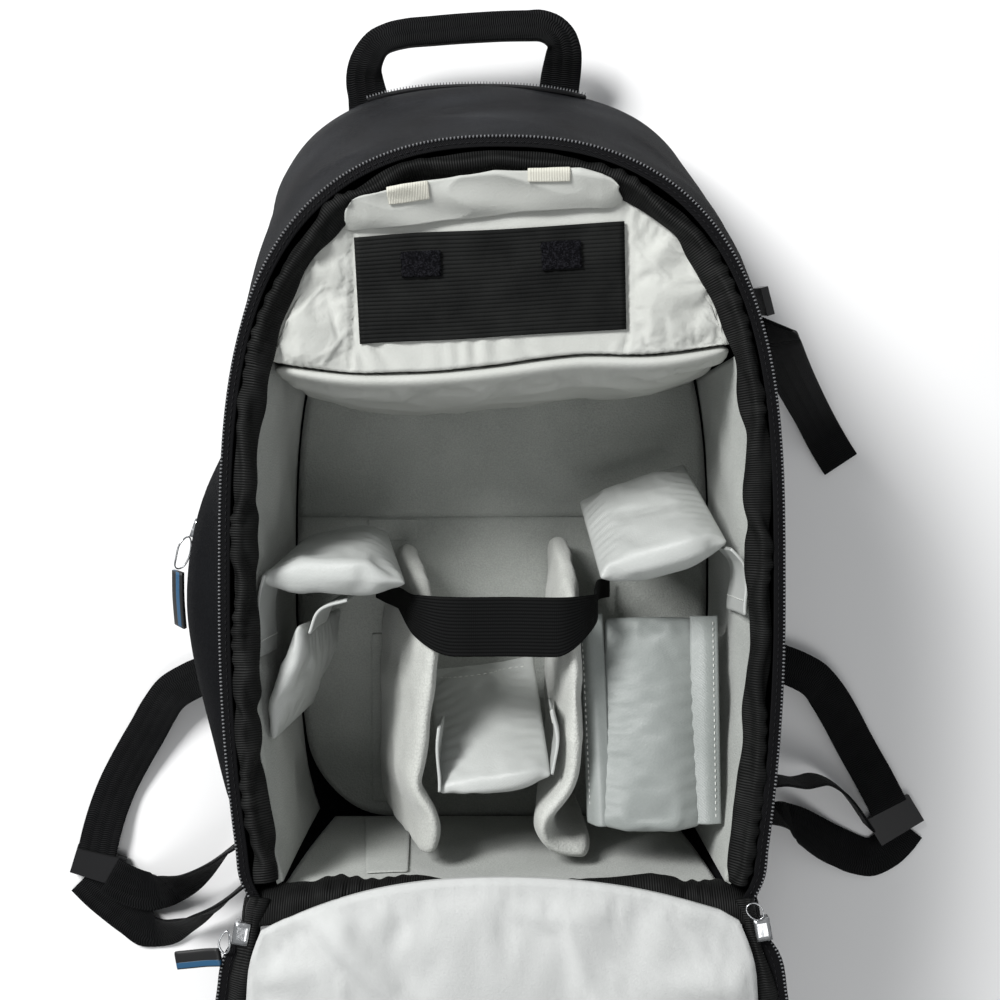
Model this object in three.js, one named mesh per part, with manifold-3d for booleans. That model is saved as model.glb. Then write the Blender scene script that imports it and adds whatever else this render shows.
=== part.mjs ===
// A camera backpack, lying open on its back.
//
// Millimetres. +X is the pack's right as one looks into it, +Y runs up the pack towards its haul handle,
// and +Z points out of the open compartment. The pack lies on its shoulder straps at z = 0, and its front
// panel is unzipped and folded down over the hinge at y = 0, so that it slopes to the floor.
import * as THREE from 'three';
import { mergeVertices } from 'three/addons/utils/BufferGeometryUtils.js';
import Module from 'manifold-3d';

const wasm = await Module();
wasm.setup();

// Driving sizes of the bag

const clearance = 0.3; // left between pieces that touch
const cloth = 2; // wall of the coated nylon shell
const strapPad = 12; // thickness of a shoulder strap
const backFoam = 14; // thickness of the harness pad on the pack's back
const bagDepth = 158; // outside of the back wall to the zip
const linerFoam = 9; // thickness of the padded lining
const openingHalfWidth = 142; // centreline to the zip, at the widest place
const openingHeight = 385; // hinge to the top of the zip's arch
const backRise = 80; // how much higher the back reaches than the zip
const hingeHalfWidth = 131; // centreline to the zip's lower ends
const widestHeight = 150; // hinge to the widest place
const backNarrowing = 3; // how much narrower than the opening the back is, each side
const sideBulge = 4; // swell of the side walls at mid depth
const hingeBow = 12; // how far the middle of the hinge is drawn into the bag
const bowFrom = 0.85; // level from which the bottom wall bends in towards it
const topLean = 15; // sideways lean of the soft top of the back
const bottomDrop = 5; // outside of the bottom wall below the hinge
const rimCorner = 16;
const backCorner = 26;
const rimRoundness = 3.4; // exponent of the arch at the zip
const backRoundness = 8; // and at the squarer back
const archShoulder = 2.35; // exponent of the arch's width

const tapeWidth = 6; // zip tape and teeth
const tapeThickness = 1.6;
const bandWidth = 11; // gathered band inside the zip
const gatherPitch = 27;
const gatherDepth = 1.1;
const webbing = 25; // width of all load webbing
const webbingThickness = 1.8;

// Levels that follow from the sizes

const backPadZ = strapPad + clearance;
const shellBackZ = backPadZ + backFoam + clearance;
const rimZ = shellBackZ + bagDepth;
const shellTopZ = rimZ - tapeThickness - clearance;
const linerBackZ = shellBackZ + cloth + clearance;
const roomBackZ = linerBackZ + linerFoam;
const roomDepth = rimZ - roomBackZ;
const roomHalfWidth = openingHalfWidth - tapeWidth - bandWidth;
const linerTopZ = rimZ - 6;

// Dividers are placed in the room: shares of its half width, of its height and of its depth.
const roomFloor = 8; // hinge to the inside of the bottom lining
const roomHeight = 242; // bottom lining to the underside of the shelf
const room = (across, up, out) => new THREE.Vector3(
  across * roomHalfWidth, roomFloor + up * roomHeight, roomBackZ + out * roomDepth,
);

// Colours and finishes

const cloths = {
  nylon: { color: 0x1b1b1e, roughness: 0.75, metalness: 0 },
  binding: { color: 0x121213, roughness: 0.85, metalness: 0 },
  webbing: { color: 0x111213, roughness: 0.8, metalness: 0 },
  lining: { color: 0xc9cbc6, roughness: 0.55, metalness: 0 },
  fleece: { color: 0xb2b4b0, roughness: 0.95, metalness: 0 },
  padLining: { color: 0xbfc2c2, roughness: 0.6, metalness: 0 },
  zip: { color: 0x1a1a1c, roughness: 0.5, metalness: 0 },
  hook: { color: 0xd8d8cc, roughness: 0.9, metalness: 0 },
  loop: { color: 0x0c0c14, roughness: 1, metalness: 0 },
  steel: { color: 0xb8bcc0, roughness: 0.25, metalness: 1 },
  rubber: { color: 0x24435f, roughness: 0.6, metalness: 0 },
  plastic: { color: 0x141415, roughness: 0.4, metalness: 0 },
};
const materials = Object.fromEntries(
  Object.entries(cloths).map(([name, finish]) => [name, new THREE.MeshStandardMaterial({ name, ...finish })]),
);

const pack = new THREE.Group();

function piece(name, geometry, material) {
  const mesh = new THREE.Mesh(outward(geometry), materials[material]);
  mesh.name = name;
  pack.add(mesh);
  return mesh;
}

// Shape helpers

const mix = THREE.MathUtils.lerp;
const vector = (x, y, z) => new THREE.Vector3(x, y, z);
const shares = (count) => Array.from({ length: count + 1 }, (_, i) => i / count);

function geometryOf(points, index) {
  const geometry = new THREE.BufferGeometry().setFromPoints(points);
  geometry.setIndex(index);
  return geometry;
}

// Turns a closed surface's faces outwards, whichever way its rings ran.
function outward(geometry) {
  const at = geometry.getAttribute('position');
  const index = geometry.index.array;
  const [a, b, c] = [vector(), vector(), vector()];
  let volume = 0;
  for (let i = 0; i < index.length; i += 3) {
    a.fromBufferAttribute(at, index[i]);
    b.fromBufferAttribute(at, index[i + 1]);
    c.fromBufferAttribute(at, index[i + 2]);
    volume += a.dot(b.cross(c));
  }
  if (volume < 0) {
    for (let i = 0; i < index.length; i += 3) [index[i], index[i + 1]] = [index[i + 1], index[i]];
  }
  return geometry;
}

// Joins rings with as many points each into one surface, with a fan over the first and the last. The second
// half of each ring is split along the other diagonals, so that both faces of a twisted strap bend one way.
function loft(rings) {
  const count = rings[0].length;
  const points = rings.flat();
  const index = [];
  for (let r = 0; r + 1 < rings.length; r++) {
    for (let i = 0; i < count; i++) {
      const a = r * count + i;
      const b = r * count + (i + 1) % count;
      if (i < count / 2) index.push(a, b, b + count, a, b + count, a + count);
      else index.push(a, b, a + count, b, b + count, a + count);
    }
  }
  for (const [ring, start, turned] of [[rings[0], 0, true], [rings.at(-1), points.length - count, false]]) {
    const centre = ring.reduce((sum, p) => sum.add(p), vector(0, 0, 0)).divideScalar(count);
    const hub = points.push(centre) - 1;
    for (let i = 0; i < count; i++) {
      const [a, b] = [start + i, start + (i + 1) % count];
      index.push(hub, ...(turned ? [b, a] : [a, b]));
    }
  }
  return geometryOf(points, index);
}

// A flat strap along a line. A row holds a point, and the direction of the strap's width there; it may hold
// a width and a thickness of its own.
function ribbon(rows, width, thickness) {
  return loft(rows.map(({ at, across, wide = width, thick = thickness }, i) => {
    const before = rows[Math.max(i - 1, 0)].at;
    const after = rows[Math.min(i + 1, rows.length - 1)].at;
    const along = after.clone().sub(before).normalize();
    const face = along.clone().cross(across).normalize();
    const side = face.clone().cross(along).normalize();
    return [[-1, -1], [1, -1], [1, 1], [-1, 1]].map(([s, f]) => at.clone()
      .addScaledVector(side, s * wide / 2)
      .addScaledVector(face, f * thick / 2));
  }));
}

// Evenly spaced rows along a strap's few chosen points, each [x, y, z, turn]: turn is the strap's twist in
// degrees, 0 when its width is level and 90 when it stands on edge.
function route(places, steps) {
  const curve = new THREE.CatmullRomCurve3(places.map(([x, y, z]) => vector(x, y, z)), false, 'centripetal');
  curve.arcLengthDivisions = 400;
  return shares(steps).map((share) => {
    const along = curve.getUtoTmapping(share);
    const place = along * (places.length - 1);
    const first = Math.min(Math.floor(place), places.length - 2);
    const turn = THREE.MathUtils.degToRad(mix(places[first][3], places[first + 1][3], place - first));
    const tangent = curve.getTangent(along);
    const level = vector(0, 0, 1).cross(tangent).normalize();
    const upright = tangent.clone().cross(level).normalize();
    return {
      at: curve.getPoint(along),
      across: level.multiplyScalar(Math.cos(turn)).addScaledVector(upright, Math.sin(turn)),
    };
  });
}

// A closed body between two surfaces given over u and v from 0 to 1.
function slab(front, back, columns, rows) {
  const points = [front, back].flatMap((surface) => shares(rows).flatMap(
    (v) => shares(columns).map((u) => surface(u, v)),
  ));
  const wide = columns + 1;
  const half = wide * (rows + 1);
  const index = [];
  for (let r = 0; r < rows; r++) {
    for (let c = 0; c < columns; c++) {
      const a = r * wide + c;
      index.push(a, a + 1, a + wide + 1, a, a + wide + 1, a + wide);
      index.push(half + a, half + a + wide + 1, half + a + 1, half + a, half + a + wide, half + a + wide + 1);
    }
  }
  const wall = (a, b) => index.push(a, half + a, half + b, a, half + b, b);
  for (let c = 0; c < columns; c++) {
    wall(c, c + 1);
    wall(rows * wide + c + 1, rows * wide + c);
  }
  for (let r = 0; r < rows; r++) {
    wall((r + 1) * wide, r * wide);
    wall(r * wide + columns, (r + 1) * wide + columns);
  }
  return geometryOf(points, index);
}

// A sheet or pad on both sides of a surface, as thick as thickness(u, v).
function quilt(surface, thickness, columns, rows) {
  const step = 1e-3;
  const inside = (t) => Math.min(Math.max(t, step), 1 - step);
  const face = (side) => (u, v) => {
    const [uc, vc] = [inside(u), inside(v)];
    const along = surface(uc + step, vc).sub(surface(uc - step, vc));
    const up = surface(uc, vc + step).sub(surface(uc, vc - step));
    const normal = along.cross(up).normalize();
    return surface(u, v).addScaledVector(normal, side * thickness(u, v) / 2);
  };
  return slab(face(1), face(-1), columns, rows);
}

// The swell of a stuffed pad: thin at its sewn edges and full inside.
const swell = (edge, full, sharpness = 4) => (u, v) => edge
  + (full - edge) * (1 - Math.abs(2 * u - 1) ** sharpness) * (1 - Math.abs(2 * v - 1) ** sharpness);

// A surface stretched between two lines, from the first at v = 0 to the second at v = 1.
const between = (first, second) => (u, v) => first(u).lerp(second(u), v);

function line(points) {
  const curve = new THREE.CatmullRomCurve3(points, false, 'centripetal');
  return (share) => curve.getPoint(share);
}

// Points and their other values, with the points counted from where they are fixed.
const from = (fixed, points) => points.map(([x, y, z, ...rest]) => [fixed.x + x, fixed.y + y, fixed.z + z, ...rest]);

function solidOf(geometry) {
  const merged = mergeVertices(outward(geometry), 1e-4);
  return new wasm.Manifold(new wasm.Mesh({
    numProp: 3,
    vertProperties: merged.getAttribute('position').array,
    triVerts: new Uint32Array(merged.index.array),
  }));
}

function geometryFrom(solid) {
  const mesh = solid.getMesh();
  const geometry = new THREE.BufferGeometry();
  geometry.setAttribute('position', new THREE.BufferAttribute(new Float32Array(mesh.vertProperties), 3));
  geometry.setIndex([...mesh.triVerts]);
  return geometry;
}

// Sews pieces of cloth that overlap into one.
const sewn = (...parts) => geometryFrom(parts.map(solidOf).reduce((whole, part) => whole.add(part)));

// How far the middle of the hinge line lies above its ends.
const bowAt = (x) => hingeBow * Math.max(0, 1 - (x / (hingeHalfWidth - rimCorner)) ** 2);

// The bag's outline, from its squarer back (level 0) to the arched opening (level 1)

function tombstone({ halfWidth, foot, bottom, widest, top, corner, roundness, lean, bow }) {
  const points = shares(3).slice(0, -1).map((share) => vector(
    share * (foot - corner), bottom + bow * (1 - share ** 2), 0,
  ));
  for (const share of shares(5)) {
    const angle = share * Math.PI / 2;
    points.push(vector(foot - corner * (1 - Math.sin(angle)), bottom + corner * (1 - Math.cos(angle)), 0));
  }
  for (const share of shares(8).slice(1)) {
    const y = mix(bottom + corner, widest, share);
    points.push(vector(foot + (halfWidth - foot) * (1 - (1 - share) ** 2), y, 0));
  }
  // Steps that are even in angle bunch up at the crown, so the first few are closer together.
  for (const share of shares(24).slice(1)) {
    const angle = share ** 1.7 * Math.PI / 2;
    const up = Math.sin(angle) ** (2 / roundness);
    points.push(vector(halfWidth * Math.cos(angle) ** (2 / archShoulder), mix(widest, top, up), 0));
  }
  points.at(-1).x = 0;
  const left = points.slice(1, -1).reverse().map((p) => vector(-p.x, p.y, 0));
  const loop = [...points, ...left];
  for (const p of loop) p.x -= lean * Math.max(0, (p.y - widest) / (top - widest)) ** 2;
  return new THREE.CatmullRomCurve3(loop, true, 'centripetal');
}

function bagOutline(level) {
  const curve = tombstone({
    halfWidth: openingHalfWidth - backNarrowing * (1 - level) + sideBulge * Math.sin(level * Math.PI),
    foot: hingeHalfWidth - backNarrowing * (1 - level),
    bottom: -bottomDrop,
    widest: widestHeight,
    top: openingHeight + backRise * (1 - level),
    corner: mix(backCorner, rimCorner, level),
    roundness: mix(backRoundness, rimRoundness, level),
    lean: topLean * (1 - level),
    bow: hingeBow * Math.max(0, (level - bowFrom) / (1 - bowFrom)) ** 2,
  });
  curve.arcLengthDivisions = 600;
  return curve;
}

// A point of an outline at a share of its length from the middle of the bottom, set in by a distance.
function onOutline(curve, share, inset, z) {
  const at = curve.getPointAt(share % 1);
  const along = curve.getTangentAt(share % 1);
  return vector(at.x - along.y * inset, at.y + along.x * inset, z);
}

const rimOutline = bagOutline(1);
const rimLength = rimOutline.getLength();
// The zip starts a quarter of the way round the bottom corner and ends at the same place on the other side.
const zipStart = (hingeHalfWidth - rimCorner * 0.4) / rimLength;
const zipShare = (share) => mix(zipStart, 1 - zipStart, share);

// The share of the rim, from the middle of the bottom up its right side, at which it reaches a height.
function shareAt(y, inset = 0) {
  let [low, high] = [zipStart * 0.93, 0.5];
  for (let i = 0; i < 30; i++) {
    const middle = (low + high) / 2;
    if (onOutline(rimOutline, middle, inset, 0).y < y) low = middle;
    else high = middle;
  }
  return low;
}
const rimHalfWidth = (y, inset = 0) => onOutline(rimOutline, shareAt(y, inset), inset, 0).x;

// Outer shell: the back, side, top and bottom walls of coated nylon, open at the front

const backRound = 7; // how far the back's edge is rolled in
const shellPoints = 46;
const shellLevels = [
  { level: 0, inset: backRound },
  { level: 0.06, inset: 0 },
  { level: 0.4, inset: 0 },
  { level: bowFrom, inset: 0 },
  { level: 1, inset: 0 },
];
const shellHeight = shellTopZ - shellBackZ;
const shellRing = ({ level, inset }, wall) => {
  const outline = bagOutline(level);
  const z = shellBackZ + (level === 0 ? wall : level * shellHeight);
  return shares(shellPoints).slice(0, -1).map((share) => onOutline(outline, share, inset + wall, z));
};
piece('outer_shell', loft([
  ...shellLevels.map((row) => shellRing(row, 0)),
  ...[...shellLevels].reverse().map((row) => shellRing(row, cloth)),
]), 'nylon');

// A point off the shell's outside: a share round the outline, a level, and a distance out of the cloth.
const onShell = (share, level, out) => onOutline(
  bagOutline(level), share, -out, shellBackZ + level * shellHeight,
);

// Harness pad on the back, which lies on the shoulder straps

const padLayers = [
  { inset: 34, rise: 0 },
  { inset: 20, rise: 0.3 },
  { inset: 18, rise: 0.7 },
  { inset: 22, rise: 1 },
];
piece('back_pad', loft(padLayers.map(({ inset, rise }) => shares(28).slice(0, -1).map(
  (share) => onOutline(bagOutline(0), share, inset, backPadZ + rise * backFoam),
))), 'nylon');

// Shoulder straps, folded away beneath the pack: flat pads that narrow towards the webbing

const shoulderStrapRows = [
  { across: 0.3, up: 430, wide: 52 },
  { across: 0.42, up: 380, wide: 62 },
  { across: 0.58, up: 310, wide: 64 },
  { across: 0.72, up: 230, wide: 60 },
  { across: 0.78, up: 160, wide: 54 },
  { across: 0.78, up: 118, wide: 40 },
];
const strapFoot = shoulderStrapRows.at(-1);
for (const [name, side] of [['shoulder_strap_left', -1], ['shoulder_strap_right', 1]]) {
  piece(name, ribbon(shoulderStrapRows.map(({ across, up, wide }) => ({
    at: vector(side * across * openingHalfWidth, up, strapPad / 2), across: vector(1, 0, 0), wide,
  })), 60, strapPad), 'nylon');
}

// Main zip: tape and teeth on the shell's edge, from one hinge corner round the arch to the other

// Sweeps a section along a share of an outline. The section gives [inset, height] pairs; place puts them in space.
function edging(outline, place, steps, section) {
  return loft(shares(steps).map((share, i) => section(share, i).map(([inset, out]) => {
    const p = onOutline(outline, zipShare(share), inset, 0);
    return place(p.x, p.y, out);
  })));
}
const onRim = (x, y, out) => vector(x, y, rimZ + out);
const zipSteps = 56;
const zipSection = () => [
  [0, -tapeThickness], [tapeWidth, -tapeThickness], [tapeWidth, 0], [0, 0],
];
piece('rim_zip', edging(rimOutline, onRim, zipSteps, zipSection), 'zip');

// Gathered band: a soft strip between the zip and the lining, drawn up in small puckers

const bandThickness = 2;
const bandPuff = 2.5; // how far its middle stands above its edges
const bandGap = 1.2; // to the zip beside it
const gathers = (pitch) => 2 * Math.round(rimLength * (1 - 2 * zipStart) / pitch);
const bandSection = (inner, fall) => (share, i) => {
  const gather = (i % 2 ? 1 : -1) * gatherDepth;
  const start = tapeWidth + bandGap;
  const end = inner + gather;
  const middle = (start + end) / 2;
  const top = -tapeThickness / 2;
  return [
    [start, top - bandThickness], [end, fall], [end + bandThickness / 2, fall + bandThickness],
    [middle, top + bandPuff + gather / 2], [start, top],
  ];
};
const bandEnd = 0.015; // share of the zip's length kept clear of the hinge
const rimBand = bandSection(tapeWidth + bandWidth, linerTopZ + clearance - rimZ);
piece('rim_band', loft(shares(gathers(gatherPitch)).map((share, i) => rimBand(share, i).map(([inset, out]) => {
  const p = onOutline(rimOutline, zipShare(mix(bandEnd, 1 - bandEnd, share)), inset, 0);
  return onRim(p.x, p.y, out);
}))), 'binding');

// Second zip, of the pocket in the bag's top, along the seam at the back

const topZip = { from: 0.555, to: 0.455, low: 0.1, high: 0.15 };
piece('top_zip', loft(shares(12).map((share) => {
  const at = mix(topZip.from, topZip.to, share);
  return [
    onShell(at, topZip.low, clearance + 0.1), onShell(at, topZip.high, clearance + 0.1),
    onShell(at, topZip.high, clearance + tapeThickness), onShell(at, topZip.low, clearance + tapeThickness),
  ];
})), 'zip');

// Side pocket on the left wall, bulging low down

const pocketBulge = 26;
const pocketSpan = { low: shareAt(12), high: shareAt(214), back: 0.12, front: 0.9 };
const pocketSurface = (bulge) => (u, v) => {
  const full = (1 - Math.abs(2 * u - 1) ** 3) * Math.sin(Math.PI * v ** 1.25) ** 0.7;
  return onShell(
    1 - mix(pocketSpan.low, pocketSpan.high, v),
    mix(pocketSpan.back, pocketSpan.front, u),
    clearance + (bulge ? 1.2 + bulge * full : 0),
  );
};
piece('side_pocket', slab(pocketSurface(pocketBulge), pocketSurface(0), 7, 9), 'nylon');

// Lid: the front panel, folded down over the hinge. Its outline mirrors the opening's.

const lidFall = new THREE.CatmullRomCurve3([
  [-8, 181], [-40, 184], [-80, 178], [-130, 153], [-185, 110], [-235, 66], [-280, 31], [-312, 12], [-345, 4],
  [-385, 3],
].map(([y, z]) => vector(0, y, z - 181 + shellTopZ - 1)), false, 'centripetal');
lidFall.arcLengthDivisions = 400;
const lidFallLength = lidFall.getLength();
const lidPanelThickness = 3;
const lidFoam = 6;
// A point of the lid: across it, its distance from the hinge, and its height above the panel's middle.
function onLid(x, distance, out) {
  const share = Math.min(Math.max(distance / lidFallLength, 0), 1);
  const at = lidFall.getPointAt(share).setY(lidFall.getPointAt(share).y - Math.min(distance, 0));
  const fall = lidFall.getTangentAt(share);
  const bow = bowAt(x) * Math.min(1, Math.max(0, 1 - distance / 120)) ** 2;
  return vector(x, at.y + bow + fall.z * out, at.z - fall.y * out);
}
const lidRows = (from, to) => (v) => mix(from, to, Math.sin(v * Math.PI / 2) ** 1.1);
const panelRow = lidRows(-1.5, openingHeight - tapeWidth - 2);
piece('lid_panel', quilt((u, v) => {
  const distance = panelRow(v);
  const corner = 10 * Math.max(0, (12 - distance) / 13.7);
  const half = rimHalfWidth(Math.max(distance, 12), tapeWidth + 0.9) - corner;
  return onLid(mix(-1, 1, u) * half, distance, 0);
}, () => lidPanelThickness, 8, 15), 'nylon');
const lidZipSection = () => [[0, -0.8], [tapeWidth, -0.8], [tapeWidth, 0.8], [0, 0.8]];
piece('lid_zip', edging(rimOutline, (x, y, out) => onLid(x, y + 2, out), 48, lidZipSection), 'zip');

// The lid's own gathered band, and its padded lining with soft hollows

const lidBandTop = lidPanelThickness / 2 + clearance + 0.3;
const lidBandInner = tapeWidth + bandWidth - 3;
piece('lid_band', loft(shares(gathers(gatherPitch * 1.4)).map((share, i) => {
  const gather = (i % 2 ? 1 : -1) * gatherDepth;
  const middle = mix(tapeWidth, lidBandInner, 0.5);
  return [
    [tapeWidth + bandGap, lidBandTop], [lidBandInner + gather, lidBandTop],
    [lidBandInner + gather, lidBandTop + bandThickness], [middle, lidBandTop + bandThickness + bandPuff + gather],
    [tapeWidth + bandGap, lidBandTop + bandThickness],
  ].map(([inset, out]) => {
    const p = onOutline(rimOutline, zipShare(mix(bandEnd, 1 - bandEnd, share)), inset, 0);
    return onLid(p.x, p.y + 2, out);
  });
})), 'binding');
const liningArch = 24; // how far the lining's corners at the hinge are cut back
const liningReach = 8; // how far its middle reaches back over the hinge
const liningEnd = openingHeight - lidBandInner - 4;
piece('lid_lining', quilt((u, v) => {
  const across = mix(-1, 1, u);
  const distance = mix(liningArch * Math.abs(across) ** 3 - liningReach, liningEnd, Math.sin(v * Math.PI / 2) ** 1.1);
  const half = rimHalfWidth(Math.max(distance, 24), lidBandInner + gatherDepth + 1);
  const lift = 2 * Math.exp(-Math.max(distance, 0) / 25);
  const hollow = 1.6 * Math.sin(distance / 19 + across * 3) * (1 - across ** 2) * Math.exp(-distance / 120);
  return onLid(across * half, distance, lidBandTop + lidFoam / 2 + 1.2 + lift + hollow * Math.min(1, v * 5));
}, swell(2.4, lidFoam, 6), 10, 16), 'lining');

// Binding over the hinge, gathered a little

piece('hinge_binding', loft(shares(22).map((share, i) => {
  const x = mix(-1, 1, share) * (hingeHalfWidth - rimCorner);
  const bow = bowAt(x);
  const gather = (i % 2 ? 0.5 : -0.5);
  return [
    [6.4, -7], [5.4, -2], [1.6, 2.2 + gather], [-3.4, 3.6 + gather], [-4.2, 2], [0.6, 0.2], [4.2, -7],
  ].map(([y, out]) => vector(x, y - bottomDrop + 4 + bow, shellTopZ + 1.7 + out));
})), 'binding');

// Padded lining: back, side and bottom walls of foam in brushed cloth

const liningInset = openingHalfWidth - roomHalfWidth + linerFoam / 2; // zip line to the middle of a side wall
const cornerCut = 15; // how much the lining is cut back in the bag's bottom corners
const backSeam = 191; // hinge to the seam between the lower and the upper back pad
for (const [name, from, to, lift] of [
  ['liner_back_lower', roomFloor - 4, backSeam - 0.6, 0],
  ['liner_back_upper', backSeam + 0.6, openingHeight * 0.96, 1.2],
]) {
  piece(name, quilt((u, v) => {
    const y = mix(from, to, v);
    const half = rimHalfWidth(y, liningInset - 6.5) - 1.3 * cornerCut * Math.max(0, 1 - (y - roomFloor) / backCorner) ** 2;
    return vector(mix(-1, 1, u) * half, y, linerBackZ + linerFoam / 2 + lift / 2);
  }, swell(linerFoam * 0.6, linerFoam + lift, 14), 6, 6), 'fleece');
}

const wallFloor = roomFloor + 1;
const wallTop = roomFloor + roomHeight + 26;
// How far the top edge of each side wall has slumped into the room, from the hinge up.
const wallSlumps = { liner_left: [2, 4, 2, 1, 1, 2, 1], liner_right: [0, 0, 0, 0, 1, 0, 1] };
for (const [name, slumps] of Object.entries(wallSlumps)) {
  const side = name === 'liner_left' ? -1 : 1;
  piece(name, quilt((u, v) => {
    const y = mix(wallFloor, wallTop, u);
    const place = u * (slumps.length - 1);
    const first = Math.min(Math.floor(place), slumps.length - 2);
    const slump = mix(slumps[first], slumps[first + 1], place - first) * v ** 2;
    const corner = 0.5 * cornerCut * Math.max(0, 1 - (y - wallFloor) / backCorner) ** 2;
    const x = rimHalfWidth(Math.max(y, 32), liningInset - linerFoam) - slump - corner;
    return vector(side * x, y, mix(roomBackZ + 1.5, linerTopZ, v));
  }, swell(linerFoam * 0.4, linerFoam, 10), 12, 3), 'fleece');
}

const floorHalfWidth = hingeHalfWidth - 28;
piece('liner_bottom', quilt((u, v) => {
  const z = mix(roomBackZ + 0.5, linerTopZ - 3, v);
  const bend = Math.max(0, ((z - shellBackZ) / shellHeight - bowFrom) / (1 - bowFrom));
  return vector(
    mix(-1, 1, u) * (floorHalfWidth - 5 * v ** 2),
    roomFloor - linerFoam / 2 - 0.7 + hingeBow * bend ** 2 * (1 - (2 * u - 1) ** 2), z,
  );
}, swell(linerFoam * 0.4, linerFoam - 1, 8), 10, 7), 'fleece');

// Padded dividers, each stretched from a line on the back wall to its front edge

const pads = [
  {
    name: 'divider_left', thick: 12, edge: 10, finish: 'fleece', columns: 15, rows: 3,
    front: [
      [-0.30, 0.02, 0.80], [-0.272, 0.081, 0.832], [-0.288, 0.13, 0.839], [-0.36, 0.176, 0.839],
      [-0.34, 0.229, 0.839], [-0.32, 0.312, 0.839], [-0.296, 0.395, 0.839], [-0.28, 0.473, 0.819],
      [-0.296, 0.564, 0.751], [-0.368, 0.635, 0.457], [-0.448, 0.693, 0.116],
    ],
    foot: [
      [-0.56, 0.035, 0.0125], [-0.576, 0.081, 0.0125], [-0.576, 0.13, 0.0125], [-0.576, 0.176, 0.0125],
      [-0.576, 0.229, 0.0125], [-0.576, 0.312, 0.0125], [-0.576, 0.395, 0.0125], [-0.568, 0.473, 0.0125],
      [-0.544, 0.564, 0.0125], [-0.512, 0.625, 0.0125], [-0.48, 0.68, 0.0125],
    ],
  },
  {
    name: 'divider_right', thick: 12, edge: 10, finish: 'fleece', columns: 18, rows: 3,
    front: [
      [0.38, 0.036, 0.764], [0.288, 0.030, 0.798], [0.186, 0.055, 0.819], [0.168, 0.11, 0.832],
      [0.256, 0.163, 0.839], [0.304, 0.217, 0.839], [0.308, 0.3, 0.839], [0.307, 0.403, 0.839],
      [0.304, 0.506, 0.819], [0.304, 0.575, 0.751], [0.304, 0.643, 0.457], [0.28, 0.706, 0.116],
    ],
    foot: [
      [0.368, 0.040, 0.007], [0.304, 0.045, 0.007], [0.256, 0.072, 0.007], [0.24, 0.11, 0.007],
      [0.24, 0.163, 0.007], [0.24, 0.217, 0.007], [0.24, 0.3, 0.007], [0.24, 0.403, 0.007],
      [0.24, 0.506, 0.007], [0.248, 0.575, 0.007], [0.256, 0.635, 0.007], [0.264, 0.69, 0.007],
    ],
  },
  {
    name: 'divider_upper_left', thick: 17, edge: 4, finish: 'padLining', columns: 7, rows: 6,
    front: [
      [-0.996, 0.634, 0.887], [-0.8, 0.636, 0.9], [-0.608, 0.634, 0.9], [-0.47, 0.628, 0.873], [-0.40, 0.622, 0.846],
    ],
    foot: [
      [-0.99, 0.677, 0.117], [-0.842, 0.685, 0.12], [-0.736, 0.70, 0.12], [-0.64, 0.712, 0.12],
      [-0.555, 0.715, 0.12],
    ],
  },
  {
    name: 'divider_lower_left', thick: 15, edge: 5, finish: 'padLining', columns: 6, rows: 6,
    front: [[-0.812, 0.530, 0.873], [-0.848, 0.465, 0.887], [-0.92, 0.362, 0.88], [-0.941, 0.293, 0.853]],
    foot: [[-0.774, 0.530, 0.164], [-0.808, 0.465, 0.164], [-0.886, 0.362, 0.164], [-0.91, 0.293, 0.164]],
  },
  {
    name: 'divider_centre', thick: 11, edge: 3, finish: 'padLining', columns: 8, rows: 6,
    front: [[-0.262, 0.167, 0.798], [-0.112, 0.176, 0.832], [0.064, 0.188, 0.832], [0.206, 0.205, 0.798]],
    foot: [[-0.352, 0.374, 0.164], [-0.16, 0.382, 0.151], [0.016, 0.395, 0.151], [0.15, 0.411, 0.164]],
  },
  {
    name: 'divider_lower_right', thick: 9, edge: 2.5, finish: 'padLining', columns: 7, rows: 7,
    front: [[0.412, 0.098, 0.798], [0.528, 0.089, 0.832], [0.704, 0.089, 0.832], [0.830, 0.097, 0.798]],
    foot: [[0.452, 0.531, 0.573], [0.602, 0.535, 0.587], [0.752, 0.535, 0.587], [0.866, 0.531, 0.573]],
  },
  {
    name: 'divider_upper_right', thick: 17, edge: 4, finish: 'padLining', columns: 7, rows: 6,
    front: [[0.41, 0.633, 0.832], [0.592, 0.657, 0.88], [0.79, 0.684, 0.88], [0.938, 0.711, 0.832]],
    foot: [[0.372, 0.791, 0.151], [0.538, 0.819, 0.151], [0.72, 0.851, 0.151], [0.878, 0.884, 0.151]],
  },
];
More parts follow.
